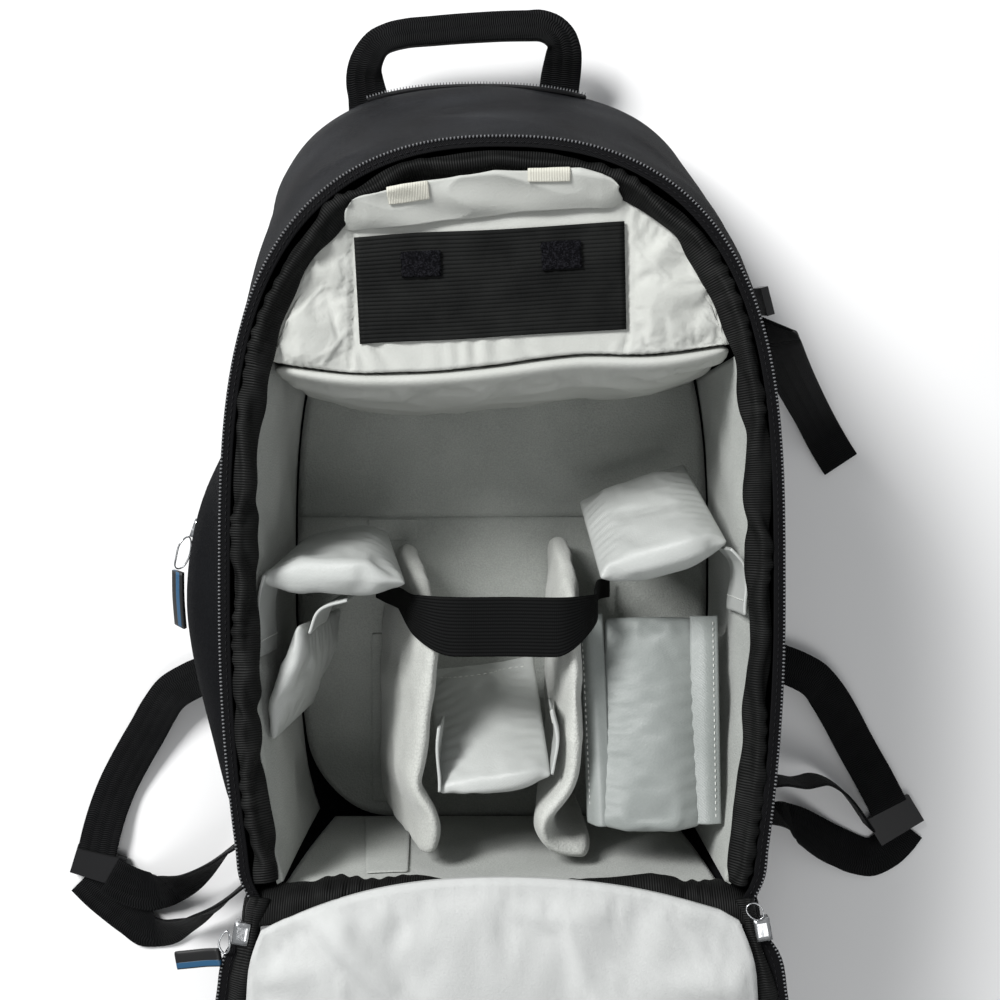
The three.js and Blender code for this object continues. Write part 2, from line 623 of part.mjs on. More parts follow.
// Hook-and-loop flanges at the pads' ends: corners [across, up, out], run as a thin strap from first to last.
const flangeCloth = 1.8;
const flanges = {
  divider_upper_left: [
    { wide: 34, across: vector(0, 0, 1), at: [[-0.93, 0.64, 0.77], [-0.962, 0.60, 0.77], [-0.962, 0.52, 0.77]] },
  ],
  divider_lower_left: [
    { wide: 60, across: vector(0, 0, 1), at: [[-0.80, 0.52, 0.66], [-0.76, 0.565, 0.66], [-0.64, 0.588, 0.66]] },
  ],
  divider_centre: [
    { wide: 34, across: vector(0, 0, 1), at: [[-0.24, 0.2, 0.68], [-0.282, 0.24, 0.68], [-0.282, 0.30, 0.68]] },
    { wide: 34, across: vector(0, 0, 1), at: [[0.18, 0.23, 0.68], [0.222, 0.27, 0.68], [0.226, 0.36, 0.68]] },
  ],
  divider_lower_right: [
    { wide: 100, across: vector(0, -1, 0.27), at: [[0.45, 0.32, 0.70], [0.39, 0.32, 0.705], [0.362, 0.32, 0.64]] },
    { wide: 96, across: vector(0, -1, 0.27), at: [[0.81, 0.325, 0.70], [0.872, 0.325, 0.705], [0.892, 0.325, 0.68]] },
  ],
  divider_upper_right: [
    { wide: 34, across: vector(0, 0, 1), at: [[0.90, 0.70, 0.77], [0.972, 0.67, 0.77], [0.988, 0.58, 0.77]] },
  ],
};
for (const { name, thick, edge, finish, front, foot, columns, rows } of pads) {
  const inRoom = (points) => line(points.map(([across, up, out]) => room(across, up, out)));
  const pad = quilt(between(inRoom(foot), inRoom(front)), swell(edge, thick, edge > 8 ? 8 : 3), columns, rows);
  const tabs = (flanges[name] ?? []).map(({ wide, across, at }) => ribbon(
    at.map((place) => ({ at: room(...place), across })), wide, flangeCloth,
  ));
  piece(name, tabs.length ? sewn(pad, ...tabs) : pad, finish);
}

// Elastic band over the two long dividers and down to the back wall on both sides

const elasticWidth = 31;
const elasticThickness = 1.4;
const elasticY = roomFloor + 0.535 * roomHeight;
const elasticRun = [
  [-96, 39.4], [-84, 40], [-77, 48], [-73.9, 60], [-58.4, 110], [-47.4, 148], [-43, 160], [-36, 164],
  [-20, 163], [0, 162], [20, 163], [40, 164.5], [47, 157], [45, 120], [41.8, 80], [40.5, 55], [45, 42], [60, 39.4],
  [100, 39.4],
];
const elasticPath = new THREE.CatmullRomCurve3(
  elasticRun.map(([x, z]) => vector(x, elasticY, z)), false, 'centripetal',
);
piece('elastic_band', ribbon(shares(28).map((share) => ({
  at: elasticPath.getPointAt(share), across: vector(0, 1, 0),
})), elasticWidth, elasticThickness), 'binding');

// Shelf: the padded roll that divides the top compartment from the room below

const shelfFront = [
  [-0.949, 1.083, 0.925], [-0.688, 1.056, 0.94], [-0.408, 1.052, 0.94], [-0.008, 1.068, 0.94],
  [0.312, 1.093, 0.94], [0.592, 1.089, 0.94], [0.80, 1.103, 0.94], [0.944, 1.124, 0.925],
];
const shelfThickness = 15;
const shelfLine = (points) => line(points.map(([across, up, out]) => room(across, up, out)));
piece('shelf', quilt(between(
  shelfLine(shelfFront.map(([across, up]) => [across, up, 0.0105])), shelfLine(shelfFront),
), (u, v) => mix(7, shelfThickness, Math.min(1, 3 * Math.min(u, 1 - u, 1 - v + 0.12))), 12, 5), 'lining');

// Soft front of the top compartment, in a black ribbed panel between two puffy sides

const pocketZ = rimZ - 11.5;
const pocketFoot = [
  [-0.93, 1.118], [-0.6, 1.091], [-0.2, 1.089], [0.2, 1.111], [0.55, 1.125], [0.9, 1.152],
].map(([across, up]) => room(across, up, 0).setZ(pocketZ));
const pocketInset = tapeWidth + bandWidth - 1;
const pocketArch = [shareAt(287, pocketInset), 1 - shareAt(279, pocketInset)];
const pocketSurfaceAt = between(
  line(pocketFoot), (u) => onOutline(rimOutline, mix(pocketArch[1], pocketArch[0], u), pocketInset, pocketZ),
);
const pillow = (u) => Math.sin(Math.PI * Math.min(1, Math.min(u, 1 - u) / 0.165)) ** 2;
piece('pocket_front', quilt((u, v) => {
  const at = pocketSurfaceAt(u, v);
  return at.setZ(at.z + 3.4 * Math.max(0, (v - 0.8) / 0.2) ** 2);
}, (u, v) => 3.4 + 8 * pillow(u) * Math.sin(Math.PI * v) ** 0.6, 18, 7), 'lining');

const ribbedCorners = [[-72, 281], [63, 289], [-75, 335], [62, 343]];
const ribbedZ = pocketZ + 3.4 / 2 + clearance;
const ribbedThickness = 1.4;
const ribbedAt = (u, v, z) => {
  const [a, b, c, d] = ribbedCorners.map(([x, y]) => vector(x, y, z));
  return a.lerp(b, u).lerp(c.lerp(d, u), v);
};
piece('ribbed_panel', slab(
  (u, v) => ribbedAt(u, v, ribbedZ + 0.2 + ribbedThickness), (u, v) => ribbedAt(u, v, ribbedZ + 0.2), 4, 2,
), 'binding');

// Flap of the top compartment, folded up, with its hook tabs; their loop patches are on the ribbed panel

const flapFoot = [[-73, 338], [-51, 341], [-16, 345], [18, 349], [60, 351]];
const flapTop = [[-72, 353], [-41, 360], [-11, 364.5], [18, 366], [40, 365], [59, 361]];
const flapZ = ribbedZ + 1.75;
const flapRise = rimZ + 2.9 - flapZ; // its top edge lies over the gathered band
const flapCloth = 1.2;
const flapLine = (points) => line(points.map(([x, y]) => vector(x, y, flapZ)));
const flapSurface = between(flapLine(flapFoot), flapLine(flapTop));
const flapAt = (u, v, out) => {
  const at = flapSurface(u, v);
  const fold = 0.5 * Math.sin(u * 17 + v * 2) * Math.sin(Math.PI * v);
  return at.setZ(at.z + flapRise * v ** 0.75 + fold + out);
};
piece('pocket_flap', quilt((u, v) => flapAt(u, v, 0), () => flapCloth, 16, 4), 'lining');
for (const [name, from, to, low, high] of [
  ['hook_tab_left', 0.115, 0.28, 0.4, 0.86], ['hook_tab_right', 0.62, 0.8, 0.58, 0.92],
]) {
  const tab = (out) => (u, v) => flapAt(mix(from, to, u), mix(low, high, v), out);
  piece(name, slab(tab(2.6), tab(1.3), 4, 2), 'hook');
}

const patch = (length, width, thickness, x, y, z, turn) => {
  const yaw = THREE.MathUtils.degToRad(turn);
  const reach = vector(Math.cos(yaw), Math.sin(yaw), 0).multiplyScalar(length / 2);
  const centre = vector(x, y, z);
  return ribbon([-1, 1].map((side) => ({
    at: centre.clone().addScaledVector(reach, side), across: vector(-Math.sin(yaw), Math.cos(yaw), 0),
  })), width, thickness);
};
const loopZ = ribbedZ + 0.2 + ribbedThickness + clearance + 0.8;
piece('loop_patch_left', patch(20, 13, 1.6, -41, 321.5, loopZ, 2), 'loop');
piece('loop_patch_right', patch(20, 14, 1.6, 30, 326, loopZ, 3), 'loop');

// Haul handle: webbing sewn into the seam at the top of the back, folded double along the grip

const handleSeam = onShell(0.5, 0, 0);
// Rows are [x, y, z, width, thickness].
const handleRows = from(handleSeam, [
  [-73.5, -26, -1.4, 25, 1.8], [-74, -10, -1.5, 25, 1.8], [-75.5, 0, 1.9, 24, 1.8],
  [-74, 10, 10.4, 21, 2.4], [-66.5, 21, 16.4, 19, 4], [-53.5, 26, 18.4, 18, 6],
  [-29.5, 28.5, 19.4, 18, 6], [-4.5, 30.5, 19.4, 18, 6], [22.5, 32, 18.4, 18, 6],
  [38.5, 31.5, 17.4, 19, 5], [47.5, 24, 15.4, 20, 3], [48.5, 14, 10.4, 23, 2], [47.5, 5, 2.4, 25, 1.8],
  [46.5, -5, -1.5, 25, 1.8], [46.5, -18, -1.4, 25, 1.8],
]);
const handleCurve = new THREE.CatmullRomCurve3(handleRows.map(([x, y, z]) => vector(x, y, z)), false, 'centripetal');
piece('haul_handle', ribbon(shares(24).map((share) => {
  const place = share * (handleRows.length - 1);
  const first = Math.min(Math.floor(place), handleRows.length - 2);
  const [wide, thick] = [3, 4].map((c) => mix(handleRows[first][c], handleRows[first + 1][c], place - first));
  const tangent = handleCurve.getTangent(share);
  return {
    at: handleCurve.getPoint(share),
    across: vector(-tangent.y, tangent.x, 0).normalize(), wide, thick,
  };
}), webbing, webbingThickness), 'webbing');

// Webbing: from the shoulder straps out to the ladder locks, and back to the pack's bottom corners

const lock = { length: 32, width: 19, thickness: 4, z: 4.6 };
const lyingZ = webbingThickness / 2 + clearance;
const overLock = lock.z + lock.thickness / 2 + clearance + webbingThickness / 2;
// Rows are [x, y, z, turn], with places of lock and pack read off the resting pack.
const webs = [
  {
    name: 'strap_web_left', steps: 14,
    at: [
      [-strapFoot.across * openingHalfWidth - 20.3, 105.6, 6, 0], [-160, 103, 9, 4], [-188, 89, 13, 20],
      [-210, 78, 14, 10], [-229, 50, 9, 0], [-250, 12, 5, 0], [-258, -14, overLock, 0], [-261, -27, overLock, 0],
    ],
  },
  {
    name: 'strap_return_left', steps: 14,
    at: [
      [-253, -42, overLock, 0], [-244, -47, overLock, 0], [-228, -52.6, 7, 0], [-202, -43, 20, 40],
      [-174, -20, 38, 85], [-153, -4, 46, 90], [-143.5, 6, 47, 90],
    ],
  },
  {
    name: 'strap_tail_left', steps: 14,
    at: [
      [-271, -45, lyingZ, 0], [-262, -54, lyingZ, 0], [-246, -67, lyingZ, 0], [-226, -79, 4, 8],
      [-204, -71, 14, 50], [-171, -48, 32, 85], [-140, -20, 42, 90], [-130, -9, 43, 90],
    ],
  },
  {
    name: 'strap_web_right', steps: 14,
    at: [
      [strapFoot.across * openingHalfWidth + 20.6, 105.6, 6, 0], [152, 105, 9, 0], [180, 95, 14, -20],
      [199, 86, 14, -15], [213, 68, 11, 0], [229, 40, 6, 0], [240, 20, overLock, 0], [249.5, 1.5, overLock, 0],
    ],
  },
  {
    name: 'strap_return_right', steps: 14,
    at: [
      [234.6, -8.8, 14.5, 90], [226, 4, 14.5, 90], [217, 14.5, 15, 90], [203, 22.5, 21, 90],
      [186, 24, 32, 90], [168, 27, 42, 90], [146, 22, 47, 90],
    ],
  },
  {
    name: 'strap_tail_right', steps: 14,
    at: [
      [263, -12, lyingZ, 0], [257, -20, lyingZ, 0], [240, -32, lyingZ, 0], [216, -24, 4, 10],
      [191, -8, 16, 40], [171, 3, 32, 75], [150, 3, 42, 90], [143.5, 0, 44, 90],
    ],
  },
];
for (const { name, steps, at } of webs) piece(name, ribbon(route(at, steps), webbing, webbingThickness), 'webbing');

const locks = [
  { name: 'strap_lock_left', x: -261, y: -36, turn: -17 },
  { name: 'strap_lock_right', x: 254, y: -7, turn: 31 },
];
for (const { name, x, y, turn } of locks) {
  piece(name, patch(lock.length, lock.width, lock.thickness, x, y, lock.z, turn), 'plastic');
}

// Compression strap on the right, hanging to the floor, and its ladder lock

const strapAnchor = onShell(0.352, 0.63, 0);
piece('compression_strap', ribbon(route(from(strapAnchor.clone().setZ(0), [
  [12.1, -18.5, 124, 80], [15.8, -21.5, 114, 60], [23.8, -29.5, 93, 35], [39.8, -43.5, 58, 15],
  [57.8, -60.5, 26, 0], [71.8, -76.5, 6, 0], [79.8, -88.5, 2.4, 0], [83.8, -94.5, 2, 0],
]), 16), webbing, webbingThickness), 'webbing');
piece('compression_lock', ribbon(from(strapAnchor, [[5.2, 0.5, 1.1], [9.4, -14.2, -0.9]]).map((place) => ({
  at: vector(...place), across: vector(0.1, 0, -1),
})), 30, 4), 'plastic');

// Zip sliders, with their wire links and pull tabs

const wire = 1.5;
function wireLoop(points) {
  const curve = new THREE.CatmullRomCurve3(points.map((p) => vector(...p)), true, 'centripetal');
  const tube = new THREE.TubeGeometry(curve, 14, wire / 2, 5, true);
  tube.deleteAttribute('uv');
  tube.deleteAttribute('normal');
  return mergeVertices(tube, 1e-3);
}
const sliderAt = (x, y, z, turn) => patch(11, 8, 5, x, y, z, turn);
const sideZip = pocketSurface(pocketBulge)(0.45, 0.74);
piece('side_slider', ribbon(from(sideZip, [
  [-2.5, 1, -0.1], [-6, -9, -0.1],
]).map((place) => ({ at: vector(...place), across: vector(0.1, 0, 1) })), 8, 5), 'steel');
piece('side_link', wireLoop(from(sideZip, [
  [-8.9, -8, 0.9], [-13.5, -12, 2.9], [-16.1, -21, 1.9], [-17.6, -27, -1.1], [-14.1, -27, -3.1],
  [-10.1, -21, -3.1], [-8.4, -13, -2.1],
])), 'steel');
piece('side_pull', ribbon(route(from(sideZip, [
  [-15.9, -28.6, -2.1, 35], [-16.6, -41, -5.1, 35], [-17.1, -51, -9.1, 35], [-17.6, -61, -14.1, 35],
]), 6), 9, 2.6), 'rubber');

const zipEndRight = onOutline(rimOutline, zipStart, tapeWidth / 2, rimZ + 3.6);
const zipEndLeft = vector(-zipEndRight.x, zipEndRight.y, zipEndRight.z);
piece('zip_slider_left', sliderAt(...from(zipEndLeft, [[-7.8, -12.9, -1.3]])[0], 80), 'steel');
piece('zip_link_left', wireLoop(from(zipEndLeft, [
  [-14.8, -11.9, -1], [-18.2, -14.9, -1], [-19.2, -19.9, -1], [-16.2, -23.9, -1.6],
  [-13.8, -20.9, -0.5], [-13.7, -15.9, 0],
])), 'steel');
piece('zip_pull_left', ribbon(route(from(zipEndLeft, [
  [-18.8, -25.6, -2, 0], [-26.2, -26.9, -5, 0], [-34.2, -28.4, -7, 0], [-42.2, -29.9, -9, 0],
]), 6), 9, 2.6), 'rubber');
piece('zip_slider_right', sliderAt(...from(zipEndRight, [[7.8, -10.9, -1.5]])[0], -80), 'steel');
piece('zip_link_right', wireLoop(from(zipEndRight, [
  [4.2, -5.9, 2.1], [-2.8, -1.9, 3], [-5.8, 5.1, 3.6], [0.2, 9.1, 3.2], [7.2, 5.1, 2.6],
  [9.2, -2.9, 2],
])), 'steel');

// The frame: the origin is below the middle of the whole resting pack.

const bounds = new THREE.Box3().setFromObject(pack);
const middle = bounds.getCenter(new THREE.Vector3());
for (const mesh of pack.children) mesh.geometry.translate(-middle.x, -middle.y, -bounds.min.z);

export default pack;
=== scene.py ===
# A camera backpack lying open on its back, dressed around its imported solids.
# Metres. +X is the pack's right as one looks into it, +Y runs up it to its haul handle, +Z out of it.
from math import pi, radians

import bmesh
import bpy
import numpy as np
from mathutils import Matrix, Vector
from mathutils.bvhtree import BVHTree


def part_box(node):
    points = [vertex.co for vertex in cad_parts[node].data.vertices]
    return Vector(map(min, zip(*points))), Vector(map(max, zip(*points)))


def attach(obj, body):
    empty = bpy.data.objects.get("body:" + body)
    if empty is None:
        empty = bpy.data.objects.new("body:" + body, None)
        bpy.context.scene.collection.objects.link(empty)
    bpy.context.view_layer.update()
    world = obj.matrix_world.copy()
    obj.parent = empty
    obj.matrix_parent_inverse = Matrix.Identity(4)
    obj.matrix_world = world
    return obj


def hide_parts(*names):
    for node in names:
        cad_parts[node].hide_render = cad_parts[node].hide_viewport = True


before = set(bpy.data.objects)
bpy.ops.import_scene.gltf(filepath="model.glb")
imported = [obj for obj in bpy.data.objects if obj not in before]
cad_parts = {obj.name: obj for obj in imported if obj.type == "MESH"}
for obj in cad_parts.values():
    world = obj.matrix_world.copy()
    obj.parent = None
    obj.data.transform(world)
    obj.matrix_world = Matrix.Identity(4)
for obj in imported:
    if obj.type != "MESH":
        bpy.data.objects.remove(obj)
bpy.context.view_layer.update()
scene = bpy.context.scene

# The view: straight down into the open pack, from as far above its zip as the photograph was taken.
# The pack lies on a pale floor, in soft light that comes mostly from above.
shell_low, shell_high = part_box("outer_shell")
rim_low, rim_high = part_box("rim_zip")
hinge_low, hinge_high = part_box("hinge_binding")
middle_x = (hinge_low.x + hinge_high.x) / 2
hinge_y = shell_low.y + 0.005
rim_z = rim_high.z
viewed_from_hinge = 0.2105
view_height = 0.611

camera = bpy.data.objects.new("camera", bpy.data.cameras.new("camera"))
camera.location = (middle_x, hinge_y + viewed_from_hinge, rim_z + view_height)
camera.data.lens = 44
camera.data.sensor_width = 36
camera.data.shift_x = -0.002
camera.data.shift_y = -0.016
camera.data.clip_start = 0.01
scene.collection.objects.link(camera)
scene.camera = camera
scene.view_settings.view_transform = "Standard"

floor_reach = 6.0
floor_mesh = bpy.data.meshes.new("floor")
floor_mesh.from_pydata(
    [(x * floor_reach, y * floor_reach, -0.0004) for x, y in ((-1, -1), (1, -1), (1, 1), (-1, 1))],
    [], [(0, 1, 2, 3)],
)
floor = bpy.data.objects.new("floor", floor_mesh)
scene.collection.objects.link(floor)
pale = bpy.data.materials.new("pale floor")
pale.use_nodes = True
pale.node_tree.nodes["Principled BSDF"].inputs["Base Color"].default_value = (0.86, 0.86, 0.86, 1)
pale.node_tree.nodes["Principled BSDF"].inputs["Roughness"].default_value = 0.9
floor_mesh.materials.append(pale)

surroundings = bpy.data.worlds.new("studio")
surroundings.use_nodes = True
surroundings.node_tree.nodes["Background"].inputs["Color"].default_value = (0.96, 0.98, 1.0, 1)
surroundings.node_tree.nodes["Background"].inputs["Strength"].default_value = 0.36
scene.world = surroundings
lit_place = Vector((middle_x, 0.05, 0.08))
for name, place, size, power in (
    ("softbox over the pack", (-1.15, 1.15, 1.5), 0.7, 58),
    ("softbox at its foot", (0.2, -0.9, 1.9), 1.0, 9),
):
    lamp = bpy.data.lights.new(name, "AREA")
    lamp.size = size
    lamp.energy = power
    softbox = bpy.data.objects.new(name, lamp)
    softbox.location = place
    softbox.rotation_euler = (lit_place - Vector(place)).to_track_quat("-Z", "Y").to_euler()
    scene.collection.objects.link(softbox)


# Outer shell: the back, side, top and bottom walls of the pack, cut from coated black nylon and sewn
# together round the back, soft enough to crease where the walls bend.
class Value:
    """A number or colour that varies over a cloth: a node's output, with the operators as Math nodes."""

    def __init__(self, tree, socket=None):
        self.tree, self.socket = tree, socket

    def node(self, kind, settings, sockets, output=0):
        made = self.tree.nodes.new(kind)
        for name, value in settings.items():
            setattr(made, name, value)
        for name, value in sockets.items():
            if isinstance(value, Value):
                self.tree.links.new(value.socket, made.inputs[name])
            else:
                made.inputs[name].default_value = value
        return Value(self.tree, made.outputs[output])

    def math(self, operation, *values):
        return self.node("ShaderNodeMath", {"operation": operation}, dict(enumerate(values)))

    def __add__(self, other):
        return self.math("ADD", self, other)

    def __sub__(self, other):
        return self.math("SUBTRACT", self, other)

    def __rsub__(self, other):
        return self.math("SUBTRACT", other, self)

    def __mul__(self, other):
        return self.math("MULTIPLY", self, other)

    def __truediv__(self, other):
        return self.math("DIVIDE", self, other)

    def __pow__(self, other):
        return self.math("POWER", self, other)

    def __abs__(self):
        return self.math("ABSOLUTE", self)

    __radd__ = __add__
    __rmul__ = __mul__

    def wave(self, pitch):
        """-1 to 1 and back over each pitch."""
        return self.math("SINE", self * (2 * pi / pitch))

    def above(self, level, softness=0.05):
        """0 below a level and 1 above it."""
        return self.node("ShaderNodeMapRange", {"clamp": True}, {
            "Value": self, "From Min": level - softness, "From Max": level + softness,
        })

    def place(self):
        """Where a point is in the pack."""
        return self.node("ShaderNodeTexCoord", {}, {}, 3)

    def threads(self):
        """The two ways of the cloth, in metres: along it and across it."""
        cut = self.node("ShaderNodeUVMap", {"uv_map": "cut"}, {})
        return [self.node("ShaderNodeSeparateXYZ", {}, {"Vector": cut}, way) for way in (0, 1)]

    def cloudy(self, size, detail=2.0, stretch=(1, 1, 1)):
        """A soft random pattern from 0 to 1, with patches of a size."""
        mapped = self.node("ShaderNodeMapping", {}, {"Vector": self.place(), "Scale": stretch})
        return self.node("ShaderNodeTexNoise", {}, {"Vector": mapped, "Scale": 1 / size, "Detail": detail})

    def blend(self, low, high):
        """A colour between two, by this value."""
        return self.node("ShaderNodeMix", {"data_type": "RGBA"}, {
            0: self,
            6: low if isinstance(low, Value) else (*low, 1),
            7: high if isinstance(high, Value) else (*high, 1),
        }, 2)


def cloth(name, roughness, sheen=0.0, metallic=0.0, gloss=0.5):
    """A finish with one roughness, sheen and gloss all over, and a value to build its pattern from."""
    made = bpy.data.materials.new(name)
    made.use_nodes = True
    shader = made.node_tree.nodes["Principled BSDF"]
    shader.inputs["Roughness"].default_value = roughness
    shader.inputs["Metallic"].default_value = metallic
    shader.inputs["Specular IOR Level"].default_value = gloss
    shader.inputs["Sheen Weight"].default_value = sheen
    shader.inputs["Sheen Roughness"].default_value = 0.4
    return made, Value(made.node_tree)


def dye(made, colour, height=None, depth=0.0, roughness=None):
    """Joins a finish's colour, relief and roughness to its shader. The relief is depth metres high."""
    tree = made.node_tree
    shader = tree.nodes["Principled BSDF"]
    if isinstance(colour, Value):
        tree.links.new(colour.socket, shader.inputs["Base Color"])
    else:
        shader.inputs["Base Color"].default_value = (*colour, 1)
    if height is not None:
        relief = height.node("ShaderNodeBump", {}, {"Height": height, "Distance": depth, "Strength": 1.0})
        tree.links.new(relief.socket, shader.inputs["Normal"])
    if roughness is not None:
        tree.links.new(roughness.socket, shader.inputs["Roughness"])
    return made


lit_from_y = 0.24  # painted light from here up, round the top of the pack; painted shade below it


def woven_nylon(name, low, high, thread=0.0007):
    made, value = cloth(name, 0.62, gloss=0.07)
    along, across = value.threads()
    weave = along.wave(thread) * across.wave(thread)
    patches = value.cloudy(0.05).above(0.5, 0.22)
    rub = value.cloudy(0.0022, 3.0).above(0.6, 0.16)
    # Painted light and shade: round the top of the pack the colour runs up to its palest, as in light, and
    # lower down, on the walls, nearly all of it is held to the darkest tone, as painted shade. The nylon is
    # also made glossier on top.
    lit_top = value.node("ShaderNodeSeparateXYZ", {}, {"Vector": value.place()}, 1).above(lit_from_y, 0.07)
    tone = (patches * 0.6 + rub * 0.4) * (0.15 + 0.85 * lit_top)
    return dye(made, tone.blend(low, high), weave * 0.5 + rub, 0.00012, 0.92 - 0.24 * lit_top)


nylon = woven_nylon("coated nylon", (0.0022, 0.0024, 0.003), (0.019, 0.0205, 0.024))


def linked(name, mesh):
    made = bpy.data.objects.new(name, mesh)
    scene.collection.objects.link(made)
    return made


def settled(made):
    """Makes a piece's modifiers part of its mesh."""
    shown = made.evaluated_get(bpy.context.evaluated_depsgraph_get())
    mesh = bpy.data.meshes.new_from_object(shown)
    made.modifiers.clear()
    made.data = mesh
    return made


def finer(made, levels):
    """Splits each face in four, levels times, and rounds the form that it makes."""
    if levels:
        split = made.modifiers.new("finer", "SUBSURF")
        split.levels = split.render_levels = levels
        settled(made)
    return made


seam_turn = 50  # degrees between two faces that meet in a seam


def skin(node, name, levels, hard=50):
    """A solid's surface in quads, split finer. Edges sharper than hard degrees stay sharp, and a vertex
    group says how near each point is to a seam."""
    form = bmesh.new()
    form.from_mesh(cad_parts[node].data)
    bmesh.ops.remove_doubles(form, verts=form.verts, dist=3e-6)
    bmesh.ops.join_triangles(
        form, faces=form.faces, angle_face_threshold=radians(60), angle_shape_threshold=radians(180),
    )
    creases = form.edges.layers.float.new("crease_edge")
    seams = form.verts.layers.deform.verify()
    for edge in form.edges:
        turn = edge.calc_face_angle() if len(edge.link_faces) == 2 else pi
        if turn > radians(hard):
            edge[creases] = 1
        if turn > radians(seam_turn):
            for end in edge.verts:
                end[seams][0] = 1.0
    mesh = bpy.data.meshes.new(name)
    form.to_mesh(mesh)
    form.free()
    made = linked(name, mesh)
    made.vertex_groups.new(name="seam")
    return finer(made, levels)


def places_of(made):
    places = np.empty(len(made.data.vertices) * 3)
    made.data.vertices.foreach_get("co", places)
    return places.reshape(-1, 3)


def normals_of(made):
    normals = np.empty(len(made.data.vertices) * 3, np.float32)
    made.data.vertex_normals.foreach_get("vector", normals)
    return normals.reshape(-1, 3).astype(float)


def put(made, places):
    made.data.vertices.foreach_set("co", places.ravel())
    made.data.update()
    return made


def swollen(made, distance):
    """Moves each point of a piece out of its surface, by distance(places, normals)."""
    places, normals = places_of(made), normals_of(made)
    return put(made, places + normals * distance(places, normals)[:, None])


def rumple(places, size, seed, waves=14):
    """Soft random folds about a size apart, from -1 to 1."""
    draw = np.random.default_rng(seed)
    ways = draw.normal(size=(waves, 3))
    ways /= np.linalg.norm(ways, axis=1)[:, None]
    rates = 2 * pi / (size * draw.uniform(0.75, 1.6, waves))
    turns = draw.uniform(0, 2 * pi, waves)
    return np.sin(places @ (ways * rates[:, None]).T + turns).sum(1) / np.sqrt(waves) / 1.4


def creased(places, size, seed):
    """Folds with narrow ridges and wide hollows, from 0 to 1."""
    return (1 - np.clip(np.abs(rumple(places, size, seed)), 0, 1)) ** 2


def near(values, middle, reach):
    """1 at the middle, falling smoothly to 0 at reach from it."""
    return np.clip(1 - np.abs(values - middle) / reach, 0, 1) ** 2


def cut_flat(made):
    """Maps the cloth onto each face from the side that it faces most, in metres."""
    mesh = made.data
    corners = np.empty(len(mesh.loops), np.int64)
    mesh.loops.foreach_get("vertex_index", corners)
    faces = np.empty(len(mesh.polygons) * 3, np.float32)
    mesh.polygons.foreach_get("normal", faces)
    counts = np.empty(len(mesh.polygons), np.int64)
    mesh.polygons.foreach_get("loop_total", counts)
    facing = np.repeat(np.abs(faces.reshape(-1, 3)).argmax(1), counts)
    ways = np.array([(1, 2), (0, 2), (0, 1)])[facing]
    places = places_of(made)[corners]
    flat = np.take_along_axis(places, ways, 1)
    cut = mesh.uv_layers.get("cut") or mesh.uv_layers.new(name="cut")
    cut.data.foreach_set("uv", flat.astype(np.float32).ravel())
    return made


def dressed(made, material, slot, *nodes, hard=180):
    """Gives a piece its finish, and puts it in the place of its solids."""
    mesh = made.data
    if "cut" not in mesh.uv_layers:
        cut_flat(made)
    mesh.materials.clear()
    mesh.materials.append(material)
    mesh.shade_smooth()
    if hard < 180:
        mesh.set_sharp_from_angle(angle=radians(hard))
    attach(made, "root")
    if nodes:
        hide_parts(*nodes)
    return made


shell = skin("outer_shell", "shell", 3)
back_seam_z = shell_low.z + 0.0105
pocket_low, pocket_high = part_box("side_pocket")


def shell_folds(places, normals):
    x, y, z = places.T
    walls = np.clip((z - shell_low.z) / 0.03, 0, 1) * np.clip((shell_high.z - z) / 0.025, 0, 1)
    beside_pocket = (x < pocket_high.x) & (y > pocket_low.y - 0.01) & (y < pocket_high.y + 0.01)
    soft = 0.0012 * rumple(places * (1, 0.55, 1), 0.07, 3)
    soft = soft + 0.0012 * creased(places * (1, 0.4, 1.4), 0.09, 5)
    seam = -0.0008 * near(z, back_seam_z, 0.0018)
    return np.where(beside_pocket, 0.15, 1.0) * soft * walls + seam


dressed(swollen(shell, shell_folds), nylon, "shell_nylon", "outer_shell")


# Side pocket: a stretched nylon pocket sewn on to the left wall, full low down. Its zip comes further on.
def steady(places, low, high):
    """0 at the edges of a box's long and deep sides, 1 well inside it."""
    inside = np.minimum(places - np.array(low), np.array(high) - places)[:, 1:]
    return np.clip(inside.min(1) / 0.02, 0, 1)


pocket = skin("side_pocket", "side pocket", 3)
pocket.name = "side_pocket_cloth"


def pocket_folds(places, normals):
    soft = 0.0016 * rumple(places * (1, 0.5, 1), 0.06, 11)
    soft = soft + 0.0016 * creased(places * (1, 0.35, 1), 0.08, 12)
    return steady(places, pocket_low, pocket_high) * soft


dressed(swollen(pocket, pocket_folds), nylon, "shell_nylon", "side_pocket")

# Back pad and shoulder straps: foam under spacer mesh, quilted across. The pack lies on the straps, which
# are folded away beneath it.
mesh_pitch = 0.0034
spacer, value = cloth("spacer mesh", 0.85, gloss=0.15)
along, across = value.threads()
holes = (along.wave(mesh_pitch) * across.wave(mesh_pitch)).above(0.25, 0.2)
spacer = dye(spacer, holes.blend((0.022, 0.022, 0.024), (0.006, 0.006, 0.007)), 1 - holes, 0.0007)

quilt_pitch = 0.058
for node in ("back_pad", "shoulder_strap_left", "shoulder_strap_right"):
    padding = finer(skin(node, node + "_foam", 2, hard=35), 1)
    low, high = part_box(node)

    def quilted(places, normals):
        sides = np.minimum(places[:, 2] - low.z, high.z - places[:, 2]) < 0.001
        channel = near((places[:, 1] - low.y) % quilt_pitch, quilt_pitch / 2, 0.004)
        return -0.0014 * channel * sides * (places[:, 2] > low.z + 0.001)

    dressed(swollen(padding, quilted), spacer, "shell_nylon", node, hard=40)
